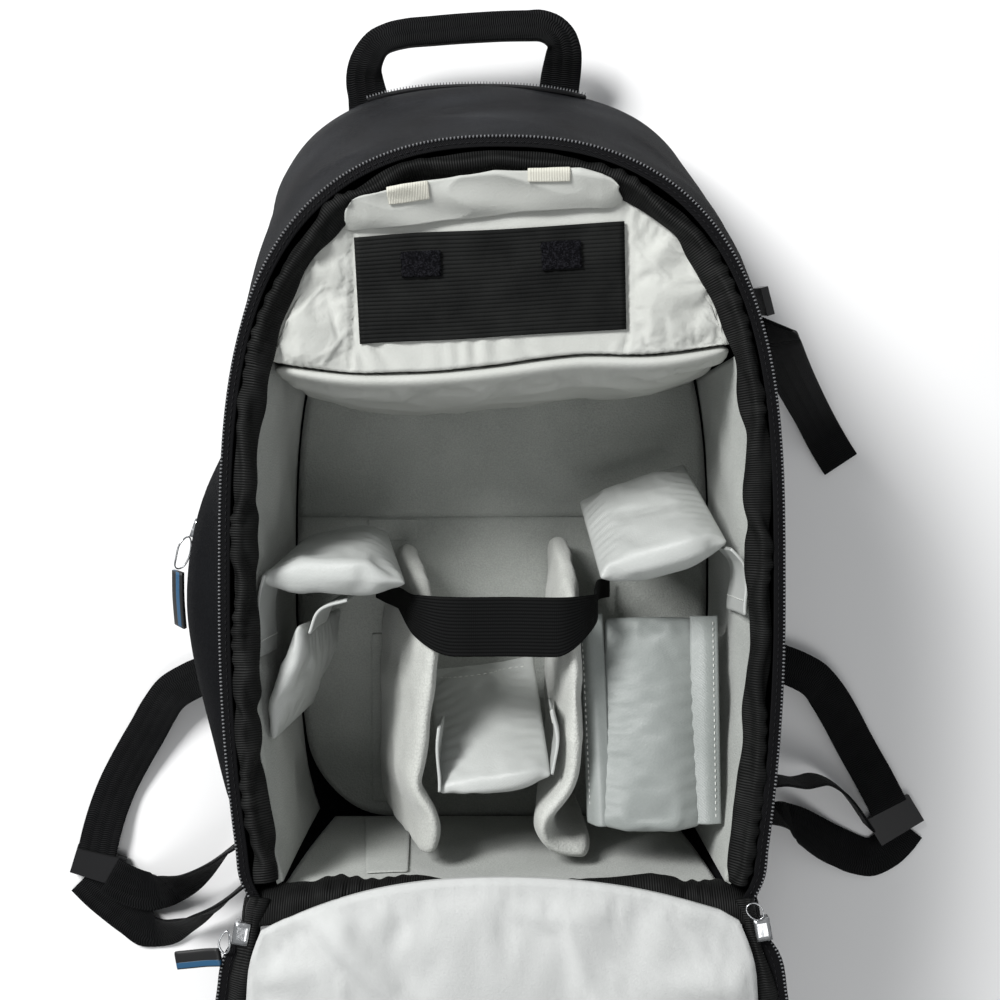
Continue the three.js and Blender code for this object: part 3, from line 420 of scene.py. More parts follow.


# Zips: black coil on woven tape, open from one hinge corner round the arch to the other, with the other
# half on the lid, and a second one along the seam of the top. The teeth are small loops of the black coil,
# painted pale grey: a painted highlight, for the glint on each loop.
def rings_of(node, start):
    """The corners of a strap's solid, ring by ring, from the end nearest to start."""
    form = bmesh.new()
    form.from_mesh(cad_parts[node].data)
    bmesh.ops.remove_doubles(form, verts=form.verts, dist=3e-6)
    form.normal_update()
    hubs = [
        v for v in form.verts
        if all(abs(face.normal.dot(v.link_faces[0].normal)) > 0.99995 for face in v.link_faces)
    ]
    hub = min(hubs, key=lambda v: (v.co - Vector(start)).length)
    seen = {hub}
    found = [edge.other_vert(hub) for edge in hub.link_edges]
    rings = []
    while len(found) > 1:
        left = set(found)
        order = [found[0]]
        left.discard(found[0])
        while left:
            beside = [edge.other_vert(order[-1]) for edge in order[-1].link_edges]
            following = [vert for vert in beside if vert in left]
            order.append(following[0] if following else left.pop())
            left.discard(order[-1])
        rings.append(np.array([v.co[:] for v in order]))
        seen.update(found)
        found = sorted({e.other_vert(v) for v in found for e in v.link_edges} - seen, key=lambda v: v.index)
    form.free()
    sides = np.linalg.norm(rings[0] - np.roll(rings[0], -1, 0), axis=1)
    rings[0] = np.roll(rings[0], 1 - sides.argmin(), 0)
    for i in range(1, len(rings)):
        ways = rings[i], rings[i][::-1]
        turned = [np.roll(way, step, 0) for way in ways for step in range(len(rings[i]))]
        before = rings[i - 1] - rings[i - 1].mean(0)
        rings[i] = min(turned, key=lambda ring: np.abs(ring - ring.mean(0) - before).sum())
    return np.array(rings)


def through(points, shares):
    """A smooth curve through points, or through rings of them, read at shares of its length from 0 to 1."""
    middles = points.reshape(len(points), -1, 3).mean(1)
    knots = np.concatenate([[0], np.cumsum(np.linalg.norm(np.diff(middles, axis=0), axis=1))])
    knots /= knots[-1]
    slopes = np.gradient(points, knots, axis=0)
    first = np.clip(np.searchsorted(knots, shares, side="right") - 1, 0, len(knots) - 2)
    span = knots[first + 1] - knots[first]
    t = (shares - knots[first]) / span
    shape = (-1,) + (1,) * (points.ndim - 1)
    t, span = t.reshape(shape), span.reshape(shape)
    return (
        (2 * t ** 3 - 3 * t ** 2 + 1) * points[first] + (t ** 3 - 2 * t ** 2 + t) * span * slopes[first]
        + (3 * t ** 2 - 2 * t ** 3) * points[first + 1] + (t ** 3 - t ** 2) * span * slopes[first + 1]
    )


def length_of(points):
    return np.linalg.norm(np.diff(points, axis=0), axis=1).sum()


def flat_section(count=24, squareness=6):
    """Shares of a strap's four corners that give its section, with soft edges. The corners run round it."""
    turn = np.linspace(0, 2 * pi, count, endpoint=False)
    side = np.sign(np.cos(turn)) * np.abs(np.cos(turn)) ** (2 / squareness)
    face = np.sign(np.sin(turn)) * np.abs(np.sin(turn)) ** (2 / squareness)
    return np.array([
        (1 - side) * (1 - face), (1 + side) * (1 - face), (1 + side) * (1 + face), (1 - side) * (1 + face),
    ]).T / 4


def soft_section(corners, splits):
    """Shares of a band's corners that give a smooth line round through them."""
    rows = []
    for corner in range(corners):
        for t in np.arange(splits) / splits:
            row = np.zeros(corners)
            for step, share in (
                (-1, -t / 2 + t ** 2 - t ** 3 / 2), (0, 1 - 2.5 * t ** 2 + 1.5 * t ** 3),
                (1, t / 2 + 2 * t ** 2 - 1.5 * t ** 3), (2, -t ** 2 / 2 + t ** 3 / 2),
            ):
                row[(corner + step) % corners] += share
            rows.append(row)
    return np.array(rows)


def strip(name, rings, spacing, section, change=None):
    """A strap or band through rings of corners, with the cloth mapped along it and round it, in metres.
    change(surface, along, round) may move the rows of points before they are joined."""
    rows = max(int(length_of(rings.mean(1)) / spacing), 2)
    surface = section @ through(rings, np.linspace(0, 1, rows + 1))
    middles = surface.mean(1)
    along = np.concatenate([[0], np.cumsum(np.linalg.norm(np.diff(middles, axis=0), axis=1))])
    closed = np.concatenate([surface, surface[:, :1]], 1)
    round_it = np.concatenate([
        np.zeros((rows + 1, 1)), np.cumsum(np.linalg.norm(np.diff(closed, axis=1), axis=2), 1),
    ], 1)
    if change is not None:
        surface = change(surface, along[:, None], round_it[:, :-1])
    count = surface.shape[1]
    row, column = np.mgrid[0:rows, 0:count]
    after = (column + 1) % count
    here, ahead = row * count, (row + 1) * count
    faces = np.stack([here + column, here + after, ahead + after, ahead + column], -1)
    mapped = [[(along[i], round_it[i, j]) for i, j in ((r, c), (r, c + 1), (r + 1, c + 1), (r + 1, c))]
              for r in range(rows) for c in range(count)]
    ends = [list(range(count))[::-1], list(range(rows * count, (rows + 1) * count))]
    mesh = bpy.data.meshes.new(name)
    mesh.from_pydata(surface.reshape(-1, 3), [], faces.reshape(-1, 4).tolist() + ends)
    flat = [place for face in mapped for place in face]
    flat += [(along[0], round_it[0, c]) for c in ends[0]]
    flat += [(along[-1], round_it[-1, c - rows * count]) for c in ends[1]]
    mesh.uv_layers.new(name="cut").data.foreach_set("uv", np.array(flat, np.float32).ravel())
    made = linked(name, mesh)
    form = bmesh.new()
    form.from_mesh(mesh)
    if form.calc_volume(signed=True) < 0:
        bmesh.ops.reverse_faces(form, faces=form.faces)
    form.to_mesh(mesh)
    form.free()
    return made


def row_tree():
    """Small beads set along a line: their pitch, size and material are its inputs."""
    tree = bpy.data.node_groups.new("beads along a line", "GeometryNodeTree")
    tree.interface.new_socket(name="Line", in_out="INPUT", socket_type="NodeSocketGeometry")
    sockets = {
        name: tree.interface.new_socket(name=name, in_out="INPUT", socket_type=kind).identifier
        for name, kind in (
            ("Pitch", "NodeSocketFloat"), ("Size", "NodeSocketVector"), ("Material", "NodeSocketMaterial"),
        )
    }
    tree.interface.new_socket(name="Beads", in_out="OUTPUT", socket_type="NodeSocketGeometry")
    start, end = tree.nodes.new("NodeGroupInput"), tree.nodes.new("NodeGroupOutput")
    line = tree.nodes.new("GeometryNodeMeshToCurve")
    places = tree.nodes.new("GeometryNodeResampleCurve")
    places.mode = "LENGTH"
    bead = tree.nodes.new("GeometryNodeMeshUVSphere")
    bead.inputs["Segments"].default_value = 6
    bead.inputs["Rings"].default_value = 4
    bead.inputs["Radius"].default_value = 0.5
    set_out = tree.nodes.new("GeometryNodeInstanceOnPoints")
    ahead = tree.nodes.new("GeometryNodeInputTangent")
    turned = tree.nodes.new("FunctionNodeAlignRotationToVector")
    turned.axis = "X"
    real = tree.nodes.new("GeometryNodeRealizeInstances")
    finish = tree.nodes.new("GeometryNodeSetMaterial")
    for giver, out, taker, into in (
        (start, "Line", line, "Mesh"), (line, "Curve", places, "Curve"), (start, "Pitch", places, "Length"),
        (places, "Curve", set_out, "Points"), (bead, "Mesh", set_out, "Instance"),
        (ahead, "Tangent", turned, "Vector"), (turned, "Rotation", set_out, "Rotation"),
        (start, "Size", set_out, "Scale"), (set_out, "Instances", real, "Geometry"),
        (real, "Geometry", finish, "Geometry"), (start, "Material", finish, "Material"),
        (finish, "Geometry", end, "Beads"),
    ):
        tree.links.new(giver.outputs[out], taker.inputs[into])
    return tree, sockets


beads_tree, bead_sockets = row_tree()


def beads(name, lines, pitch, size, material, slot):
    """Teeth or stitches of one size along lines of points."""
    points, edges = [], []
    for line in lines:
        edges += [(len(points) + i, len(points) + i + 1) for i in range(len(line) - 1)]
        points += [tuple(point) for point in line]
    mesh = bpy.data.meshes.new(name)
    mesh.from_pydata(points, edges, [])
    made = linked(name, mesh)
    row = made.modifiers.new("beads", "NODES")
    row.node_group = beads_tree
    row[bead_sockets["Pitch"]] = pitch
    row[bead_sockets["Size"]] = size
    row[bead_sockets["Material"]] = material
    settled(made)
    return dressed(made, material, slot)


tape, value = cloth("zip tape", 0.7, gloss=0.12)
along, across = value.threads()
twill = (along + across).wave(0.0011)
tape = dye(tape, twill.above(0.2, 0.6).blend((0.002, 0.002, 0.0025), (0.007, 0.007, 0.008)), twill, 0.00015)
# The coil's pale grey is a painted highlight: the real coil is black, and the grey stands in for its
# glints.
painted_glint_coil = dye(cloth("zip coil", 0.3)[0], (0.13, 0.134, 0.14))
thread = dye(cloth("black thread", 0.6, gloss=0.15)[0], (0.009, 0.009, 0.01))

tooth_pitch = 0.0019
tooth = (0.0010, 0.0016, 0.0011)
stitch_pitch = 0.0034
stitch = (0.0024, 0.0006, 0.0005)


def outer_edge(rings, inset):
    """The line along the outer edge of an arch-shaped band, on its upper face."""
    centre = rings.reshape(-1, 3).mean(0)
    reach = np.linalg.norm((rings - centre)[..., :2], axis=2).mean(0)
    outer = sorted(np.argsort(reach)[-2:], key=lambda corner: rings[:, corner, 2].mean())[-1]
    inner = sorted(np.argsort(reach)[:2], key=lambda corner: rings[:, corner, 2].mean())[-1]
    return through(rings[:, outer] * (1 - inset) + rings[:, inner] * inset, np.linspace(0, 1, 500))


def evened(rings, times=3):
    """A band's rings without the even scallops of its solid."""
    for _ in range(times):
        rings[1:-1] = (rings[:-2] + 2 * rings[1:-1] + rings[2:]) / 4
    return rings


def gone_on(rings, reach, drop=(0, 0, 0)):
    """Carries a band on past both of its ends."""
    ends = []
    for outer, inner in ((0, 1), (-1, -2)):
        way = (rings[outer] - rings[inner]).mean(0)
        ends.append(rings[outer] + way / np.linalg.norm(way) * reach + np.array(drop))
    return np.concatenate([ends[:1], rings, ends[1:]])


zip_start = (rim_high.x, rim_low.y, rim_high.z)
lid_ease = 0.0075  # how far the lid's sides are pulled out where it bends over the hinge
lid_ease_from, lid_ease_to = hinge_y - 0.004, hinge_y - 0.19


def eased_out(places):
    """Pulls the lid's sides out near the hinge."""
    x, y = places[..., 0] - middle_x, places[..., 1]
    start = np.clip((lid_ease_from - y) / 0.03, 0, 1)
    fade = np.clip((y - lid_ease_to) / 0.10, 0, 1)
    moved = places.copy()
    moved[..., 0] += lid_ease * np.sin(pi / 2 * start) * np.sin(pi / 2 * fade) * np.clip(x / 0.1, -1, 1)
    return moved


for node, title in (("rim_zip", "opening"), ("lid_zip", "lid")):
    rings = rings_of(node, zip_start)
    if title == "lid":
        rings += 0.3 * (rings - rings.mean(1, keepdims=True)) * (1, 1, 0)
        rings = gone_on(eased_out(rings), 0.009, (0, 0.002, 0))
    else:
        rings = gone_on(rings, 0.004)
    dressed(strip(title + "_zip_tape", rings, 0.004, flat_section(12)), tape, "zip_tape", node)
    rise = np.array((0, 0, 0.0003))
    beads(title + "_zip_teeth", [outer_edge(rings, 0.13) + rise], tooth_pitch, tooth, painted_glint_coil, "zip_tape")
    seam_line = outer_edge(rings, 0.62) + rise
    beads(title + "_zip_stitches", [seam_line], stitch_pitch, stitch, thread, "zip_tape")

# The second zip, of the pocket in the top, is closed: two tapes meet under one row of teeth.
top_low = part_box("top_zip")[0]
rings = rings_of("top_zip", (top_low.x, top_low.y, top_low.z)) - (0, 0.0017, 0)
dressed(strip("top_zip_tape", rings, 0.004, flat_section(12)), tape, "zip_tape", "top_zip")
outward = rings[..., 1].mean(0).argsort()[-2:]
top_line = through(rings[:, outward].mean(1), np.linspace(0, 1, 200)) + np.array((0, 0.0004, 0.0002))
beads("top_zip_teeth", [top_line], tooth_pitch, (0.0009, 0.0034, 0.0014), painted_glint_coil, "zip_tape")

# Gathered bands: strips of ribbed grosgrain sewn inside both zips and drawn up, so that they pucker along
# their free edge and lie in long folds round the arch. The hinge is bound with a strip of the same.
rib_pitch = 0.00125
pucker_pitch = 0.0095


def grosgrain_strip(name, low, high, pitch):
    made, value = cloth(name, 0.6, gloss=0.16)
    along, across = value.threads()
    ribs = abs(along.wave(2 * pitch))
    worn = value.cloudy(0.012, 3.0).above(0.56, 0.12)
    return dye(made, (ribs * (0.35 + 0.65 * worn)).blend(low, high), ribs, 0.0004)


grosgrain = grosgrain_strip("grosgrain", (0.0012, 0.0013, 0.0013), (0.013, 0.0135, 0.013), rib_pitch)


def puckers(depth, fold, wander):
    """Draws a band up along its length, lays long folds in it, and lets its free edge wander."""
    def change(surface, along, round_it):
        middle = surface.mean(1, keepdims=True)
        ways = surface - middle
        place = middle[:, 0]
        drift = 1.6 * rumple(place, 0.05, 21)[:, None]
        gather = np.sin(2 * pi * along / pucker_pitch + 4 * drift) * np.clip(0.35 + drift, 0, 1)
        around = 2 * pi * (round_it / round_it.max())
        rise = depth * gather * np.sin(around / 2) ** 2
        long_folds = fold * np.sin(2 * around + 2.2 * drift)
        edge = wander * np.stack([rumple(place, 0.03, seed) for seed in (22, 23)] + [0 * place[:, 0]], 1)
        size = np.linalg.norm(ways, axis=2) + 1e-6
        return surface + ways / size[..., None] * (rise + long_folds)[..., None] + edge[:, None]
    return change


for node, title, fold in (("rim_band", "opening_band", 0.0011), ("lid_band", "lid_band_gathers", 0.0008)):
    rings = evened(rings_of(node, zip_start))
    if node == "lid_band":
        rings = gone_on(eased_out(rings), 0.020, (0, 0.004, 0.001))
        rings += 0.40 * (rings - rings.mean(1, keepdims=True)) * (1, 1, 0)
    band = strip(title, rings, 0.0012, soft_section(5, 6), puckers(0.0008, fold, 0.0012))
    dressed(band, grosgrain, "binding", node)

rings = rings_of("hinge_binding", (hinge_high.x, hinge_low.y, hinge_high.z))
rings = gone_on(rings, 0.015, (0, -0.004, -0.003))


def bunched(surface, along, round_it):
    """Thin over the middle of the hinge, where the lining is drawn over it, and bunched near its ends."""
    middle = surface.mean(1, keepdims=True)
    x = np.abs(middle[..., 0] - middle_x)
    fullness = 0.85 + 0.4 * near(x, 0.082, 0.035) + 0.6 * np.clip((x - 0.09) / 0.02, 0, 1)
    surface = middle + (surface - middle) * fullness[..., None]
    surface = surface - np.array((0, 1, 0)) * 0.006 * np.clip(1 - (x / 0.075) ** 2, 0, 1)[..., None]
    return puckers(0.0011, 0.0004, 0.0012)(surface, along, round_it)


dressed(
    strip("hinge_binding_gathers", rings, 0.0012, soft_section(7, 4), bunched), grosgrain, "binding",
    "hinge_binding",
)

# Lid: the padded front panel, folded down over the hinge. Black nylon outside, and inside a light taffeta
# lining over thin foam, eased into the seam so that it lies in soft creases.
def seam_share(made):
    """How close each point of a skin is to its sewn edges: 1 on them, and soon 0 away from them."""
    shares = np.zeros(len(made.data.vertices))
    for vertex in made.data.vertices:
        for group in vertex.groups:
            shares[vertex.index] = group.weight
    return shares ** 4


def billowed(made, held, slack, reach, pressure=4.0, stiffness=12.0, bending=0.05):
    """Fills a sewn piece out as cloth that is held at its seams and has some slack, up to a reach."""
    start = places_of(made)
    sewn = made.vertex_groups.new(name="sewn down")
    steps = np.round(held * 20) / 20
    for share in np.unique(steps):
        sewn.add(np.flatnonzero(steps == share).tolist(), float(share), "REPLACE")
    soft = made.modifiers.new("cloth", "CLOTH")
    soft.settings.vertex_group_mass = "sewn down"
    soft.settings.quality = 5
    soft.settings.mass = 0.15
    soft.settings.tension_stiffness = soft.settings.compression_stiffness = stiffness
    soft.settings.shear_stiffness = 4
    soft.settings.bending_stiffness = bending
    soft.settings.use_pressure = pressure > 0
    soft.settings.uniform_pressure_force = pressure
    soft.settings.shrink_min = -slack
    soft.settings.effector_weights.gravity = 0
    soft.point_cache.frame_end = 20
    for step in range(1, 21):
        scene.frame_set(step)
    settled(made)
    made.vertex_groups.clear()
    scene.frame_set(1)
    moved = places_of(made) - start
    far = np.linalg.norm(moved, axis=1)[:, None] + 1e-9
    return put(made, start + moved / far * reach * np.tanh(far / reach))


lid_outside = skin("lid_panel", "lid_panel_cloth", 2, hard=60)
dressed(put(lid_outside, eased_out(places_of(lid_outside))), nylon, "shell_nylon", "lid_panel")


def light_taffeta(name, low, high, thread=0.0006):
    made, value = cloth(name, 0.5)
    along, across = value.threads()
    weave = along.wave(thread) * across.wave(thread)
    stains = value.cloudy(0.035, 3.0).above(0.5, 0.25)
    grain = value.cloudy(0.0012, 2.0)
    tone = (stains * 0.7 + grain * 0.3).blend(low, high)
    return dye(made, tone, weave * 0.4 + grain, 0.00016, 0.62 - 0.16 * stains)


taffeta = light_taffeta("light taffeta", (0.50, 0.51, 0.50), (0.575, 0.585, 0.575))
lid_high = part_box("lid_lining")[1]
lid_cloth = skin("lid_lining", "lid_lining_cloth", 3)
# The creases that show: long soft ones that run down from the hinge, each [x, y] to [x, y] with its depth.
lid_creases = (
    ((-0.112, -0.092), (-0.075, -0.098), 0.0022), ((-0.085, -0.096), (-0.042, -0.128), 0.0042),
    ((-0.052, -0.122), (-0.022, -0.165), 0.0036), ((-0.110, -0.125), (-0.082, -0.115), 0.0026),
    ((0.122, -0.100), (0.090, -0.092), 0.0034), ((0.128, -0.128), (0.078, -0.122), 0.0026),
    ((0.024, -0.088), (0.060, -0.092), 0.0014), ((0.075, -0.145), (0.040, -0.128), 0.0028),
    ((-0.03, -0.2), (0.075, -0.24), 0.0024), ((0.06, -0.3), (-0.06, -0.345), 0.0024),
    ((-0.08, -0.26), (-0.02, -0.30), 0.0024),
)


def along_creases(places, creases, width):
    """How far creases between pairs of points lift the cloth."""
    lift = np.zeros(len(places))
    for first, last, depth in creases:
        first, last = np.array(first), np.array(last)
        way = last - first
        share = np.clip((places[:, :2] - first) @ way / (way @ way), 0, 1)
        gap = np.linalg.norm(places[:, :2] - first - share[:, None] * way, axis=1)
        lift += depth * np.exp(-(gap / width) ** 2) * np.sin(pi * np.clip(share, 0.04, 0.96)) ** 0.5
    return lift


def lid_folds(places, normals):
    upper = normals[:, 2] > 0
    lift = 1.3 * along_creases(places, lid_creases, 0.007)
    soft = 0.0010 * rumple(places, 0.05, 31) + 0.0012 * creased(places * (1, 0.6, 1), 0.08, 32)
    return upper * (1 - seam_share(lid_cloth)) * (lift + soft)


def drawn_over(places):
    """Draws the lining's edge on over the hinge, most at its corners, and the right one furthest."""
    x = (places[:, 0] - middle_x) / 0.122
    near_hinge = np.clip((places[:, 1] - lid_high.y + 0.07) / 0.04, 0, 1)
    corner = np.clip(np.abs(x), 0, 1) ** 3 * np.where(x > 0, 0.020, 0.013)
    places[:, 1] += near_hinge * (0.003 + corner)
    return places


swollen(lid_cloth, lid_folds)
put(lid_cloth, eased_out(drawn_over(places_of(lid_cloth))))
billowed(lid_cloth, seam_share(lid_cloth), 0.03, 0.003, 1.0, 12.0, 0.4)
dressed(lid_cloth, taffeta, "lining", "lid_lining")

# Lining of the room: foam walls in grey brushed loop cloth, which the dividers' hook tape grips anywhere.
def brushed_loop(name, low, high, nap=0.0011):
    made, value = cloth(name, 0.95, 0.25, gloss=0.2)
    fluff = value.cloudy(nap, 4.0)
    speckle = value.cloudy(nap * 0.8, 2.0).above(0.52, 0.16)
    rubbed = value.cloudy(0.03, 2.0).above(0.5, 0.2)
    return dye(made, (speckle * 0.6 + rubbed * 0.4).blend(low, high), fluff, 0.0006)


lining_loop = brushed_loop("grey brushed loop", (0.32, 0.335, 0.315), (0.44, 0.455, 0.43))
lining_walls = {
    "liner_back_lower": 0.0007, "liner_back_upper": 0.0009, "liner_left": 0.0016, "liner_right": 0.0013,
    "liner_bottom": 0.0011,
}
wall_fold_z = 0.160  # a fold along the left wall, where its foam ends
room_back_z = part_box("liner_back_lower")[1].z
walls = {}
for node, depth in lining_walls.items():
    wall = walls[node] = skin(node, node + "_wall", 3)

    def wall_folds(places, normals):
        inner = 1 - seam_share(wall)
        groove = 0.0016 * near(places[:, 2], wall_fold_z, 0.004) if node == "liner_left" else 0
        return inner * (depth * (rumple(places, 0.05, 41) + 0.8 * creased(places, 0.06, 42) - 0.3) - groove)

    swollen(wall, wall_folds)
    places = places_of(wall)
    if node == "liner_bottom":
        forward = np.clip((places[:, 2] - room_back_z) / 0.13, 0, 1)
        places[:, 0] += (places[:, 0] - middle_x) * 0.13 * forward
    if node == "liner_back_upper":
        places[:, 1] -= 0.0016 * np.clip(1 - (places[:, 1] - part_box(node)[0].y) / 0.006, 0, 1)
    dressed(put(wall, places), lining_loop, "fleece", node)

# Long dividers: two foam boards in the same cloth, brushed to a soft nap, bent at the foot where they are
# pushed into the bottom of the room. Flat strips of hook tape under the cloth hold the left one down.
divider_loop = brushed_loop("soft brushed loop", (0.40, 0.41, 0.385), (0.56, 0.57, 0.54))
for node in ("divider_left", "divider_right"):
    board = skin(node, node + "_board", 3, hard=180)

    def board_folds(places, normals):
        return 0.0007 * rumple(places, 0.028, 51) + 0.0010 * creased(places, 0.045, 52) - 0.0004

    dressed(swollen(board, board_folds), divider_loop, "fleece", node)


def quilt(name, surface, thickness):
    """A closed pad about a grid of points, with its thickness at each."""
    rows, columns = surface.shape[:2]
    normals = np.cross(np.gradient(surface, axis=1), np.gradient(surface, axis=0))
    normals /= np.linalg.norm(normals, axis=2)[..., None] + 1e-12
    offset = normals * thickness[..., None] / 2
    points = np.concatenate([(surface + offset).reshape(-1, 3), (surface - offset).reshape(-1, 3)])
    half = rows * columns
    r, c = np.mgrid[0:rows - 1, 0:columns - 1].reshape(2, -1)
    a = r * columns + c
    face = np.stack([a, a + 1, a + columns + 1, a + columns], 1)
    edge = np.concatenate([
        np.arange(columns), np.arange(1, rows) * columns + columns - 1,
        (rows - 1) * columns + np.arange(columns - 2, -1, -1), np.arange(rows - 2, 0, -1) * columns,
    ])
    after = np.roll(edge, -1)
    wall = np.stack([after, edge, edge + half, after + half], 1)
    mesh = bpy.data.meshes.new(name)
    mesh.from_pydata(points, [], np.concatenate([face, face[:, ::-1] + half, wall]).tolist())
    made = linked(name, mesh)
    form = bmesh.new()
    form.from_mesh(mesh)
    if form.calc_volume(signed=True) < 0:
        bmesh.ops.reverse_faces(form, faces=form.faces)
    form.to_mesh(mesh)
    form.free()
    return made


def resting_on(made, corners, way, columns, rows, lift):
    """A grid between four corners, dropped the given way onto a piece, with lift metres to spare."""
    a, b, c, d = (np.array(corner, float) for corner in corners)
    u, v = np.meshgrid(np.linspace(0, 1, columns), np.linspace(0, 1, rows))
    u, v = u[..., None], v[..., None]
    grid = (a * (1 - u) + b * u) * (1 - v) + (c * (1 - u) + d * u) * v
    way = Vector(way)
    tree = BVHTree.FromObject(made, bpy.context.evaluated_depsgraph_get())
    for point in grid.reshape(-1, 3):
        hit = tree.ray_cast(Vector(point) - way * 0.05, way, 0.12)[0]
        if hit is not None:
            point[:] = hit - way * lift
    return grid


hold_down = 0.0012
for name, wall, way, corners in (
    ("divider_left_strip_low", "liner_back_lower", (0, 0, -1),
     ((-0.0775, 0.034, 0.04), (-0.062, 0.034, 0.04), (-0.0775, -0.071, 0.04), (-0.062, -0.071, 0.04))),
    ("divider_left_strip_high", "liner_back_lower", (0, 0, -1),
     ((-0.080, 0.1045, 0.04), (-0.049, 0.1045, 0.04), (-0.080, 0.0915, 0.04), (-0.049, 0.0915, 0.04))),
    ("divider_left_strip_foot", "liner_bottom", (0, -1, 0),
     ((-0.0805, -0.07, 0.050), (-0.052, -0.07, 0.050), (-0.067, -0.07, 0.163), (-0.045, -0.07, 0.163))),
):
    grid = resting_on(walls[wall], corners, way, 8, 24, hold_down / 2 + 0.0002)
    strip_of_loop = finer(quilt(name, grid, np.full(grid.shape[:2], hold_down)), 1)
    dressed(strip_of_loop, lining_loop, "fleece")

# Side pocket's zip: a closed coil on its tape, sewn along the pocket's wall, with its slider at the top.
# It is laid on the pocket's own cloth.
slide_low, slide_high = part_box("side_slider")
zip_z, tape_half = (slide_low.z + slide_high.z) / 2, 0.007
zip_from, zip_to = pocket_low.y + 0.018, slide_high.y + 0.004
corners = [(pocket_low.x, y, z) for z in (zip_z - tape_half, zip_z + tape_half) for y in (zip_from, zip_to)]
grid = resting_on(pocket, corners, (1, 0, 0), 60, 7, 0.0004)
dressed(quilt("side_zip_tape", grid, np.full(grid.shape[:2], 0.0006)), tape, "zip_tape")
beads("side_zip_teeth", [grid[3] - (0.0006, 0, 0)], tooth_pitch, (0.0009, 0.0034, 0.0014), painted_glint_coil, "zip_tape")

# Short dividers: thinner pads in satin-faced nylon, full along the front where the cloth is wrapped round
# the foam and drawn in at the sewn ends, with a hook-and-loop tab at each end that holds them to the walls
# or to the long dividers. Their edges are in shares of the room's half width, height and depth.
room_foot = 0.008
room_height = 0.242
room_half_width = (rim_high.x - rim_low.x) / 2 - 0.017
room_depth = rim_z - room_back_z


def in_room(shares):
    scale = np.array((room_half_width, room_height, room_depth))
    return np.array(shares) * scale + np.array((middle_x, hinge_y + room_foot, room_back_z))


def satin_nylon(name, low, high, line=0.0007):
    made, value = cloth(name, 0.4)
    along, across = value.threads()
    twill = (along + across * 0.5).wave(line)
    haze = value.cloudy(0.03, 3.0).above(0.5, 0.25)
    grain = value.cloudy(0.0012, 2.0)
    tone = (haze * 0.6 + grain * 0.4).blend(low, high)
    return dye(made, tone, twill * 0.3 + grain, 0.00014, 0.46 - 0.14 * haze)


satin = satin_nylon("satin nylon", (0.41, 0.425, 0.41), (0.51, 0.525, 0.51))
# A darker copy of the same satin, for the lower right pad and its tabs: painted shade, for the lesser light
# on that pad.
shaded_satin = satin_nylon("shaded satin nylon", (0.22, 0.24, 0.23), (0.31, 0.33, 0.32))
pale_thread = dye(cloth("pale thread", 0.7)[0], (0.66, 0.67, 0.64))
# node, full thickness, thickness at its seams, front edge, foot
pads = (
    ("divider_upper_left", 0.017, 0.0022,
     ((-0.996, 0.634, 0.887), (-0.8, 0.636, 0.9), (-0.608, 0.634, 0.9), (-0.47, 0.628, 0.873),
      (-0.40, 0.622, 0.846)),
     ((-0.99, 0.677, 0.117), (-0.842, 0.685, 0.12), (-0.736, 0.70, 0.12), (-0.64, 0.712, 0.12),
      (-0.555, 0.715, 0.12))),
    ("divider_lower_left", 0.0105, 0.0022,
     ((-0.835, 0.535, 0.873), (-0.862, 0.465, 0.887), (-0.925, 0.362, 0.88), (-0.950, 0.290, 0.853)),
     ((-0.780, 0.530, 0.164), (-0.815, 0.465, 0.164), (-0.892, 0.362, 0.164), (-0.915, 0.293, 0.164))),
    ("divider_centre", 0.011, 0.0022,
     ((-0.262, 0.167, 0.798), (-0.112, 0.176, 0.832), (0.064, 0.188, 0.832), (0.206, 0.205, 0.798)),
     ((-0.352, 0.374, 0.164), (-0.16, 0.382, 0.151), (0.016, 0.395, 0.151), (0.15, 0.411, 0.164))),
    ("divider_lower_right", 0.009, 0.0022,
     ((0.412, 0.098, 0.798), (0.528, 0.089, 0.832), (0.704, 0.089, 0.832), (0.830, 0.097, 0.798)),
     ((0.452, 0.531, 0.573), (0.602, 0.535, 0.587), (0.752, 0.535, 0.587), (0.866, 0.531, 0.573))),
    ("divider_upper_right", 0.017, 0.0022,
     ((0.41, 0.633, 0.832), (0.592, 0.657, 0.88), (0.79, 0.684, 0.88), (0.938, 0.711, 0.832)),
     ((0.372, 0.791, 0.151), (0.538, 0.819, 0.151), (0.72, 0.851, 0.151), (0.878, 0.884, 0.151))),
)
# node, width, the way that the width runs, and the places that it runs through from the pad outwards
tabs = (
    ("divider_upper_left", 0.036, (-0.05, 0, 1),
     ((-0.965, 0.645, 0.79), (-0.982, 0.60, 0.79), (-0.985, 0.47, 0.79))),
    ("divider_lower_left", 0.060, (0, 0, 1),
     ((-0.80, 0.52, 0.66), (-0.76, 0.565, 0.66), (-0.64, 0.588, 0.66))),
    ("divider_centre", 0.034, (0, 0, 1),
     ((-0.262, 0.172, 0.70), (-0.272, 0.225, 0.70), (-0.262, 0.31, 0.70))),
    ("divider_centre", 0.034, (0, 0, 1), ((0.206, 0.21, 0.70), (0.232, 0.27, 0.70), (0.212, 0.35, 0.70))),
    ("divider_lower_right", 0.112, (0.03, -1, 0.27),
     ((0.45, 0.32, 0.70), (0.40, 0.32, 0.715), (0.355, 0.32, 0.66))),
    ("divider_lower_right", 0.110, (-0.03, -1, 0.27),
     ((0.81, 0.32, 0.70), (0.872, 0.32, 0.71), (0.93, 0.32, 0.70))),
    ("divider_upper_right", 0.036, (0.05, 0, 1),
     ((0.93, 0.70, 0.79), (0.978, 0.67, 0.79), (0.985, 0.56, 0.79))),
)
pad_cell = 0.0032
tab_cloth = 0.0017


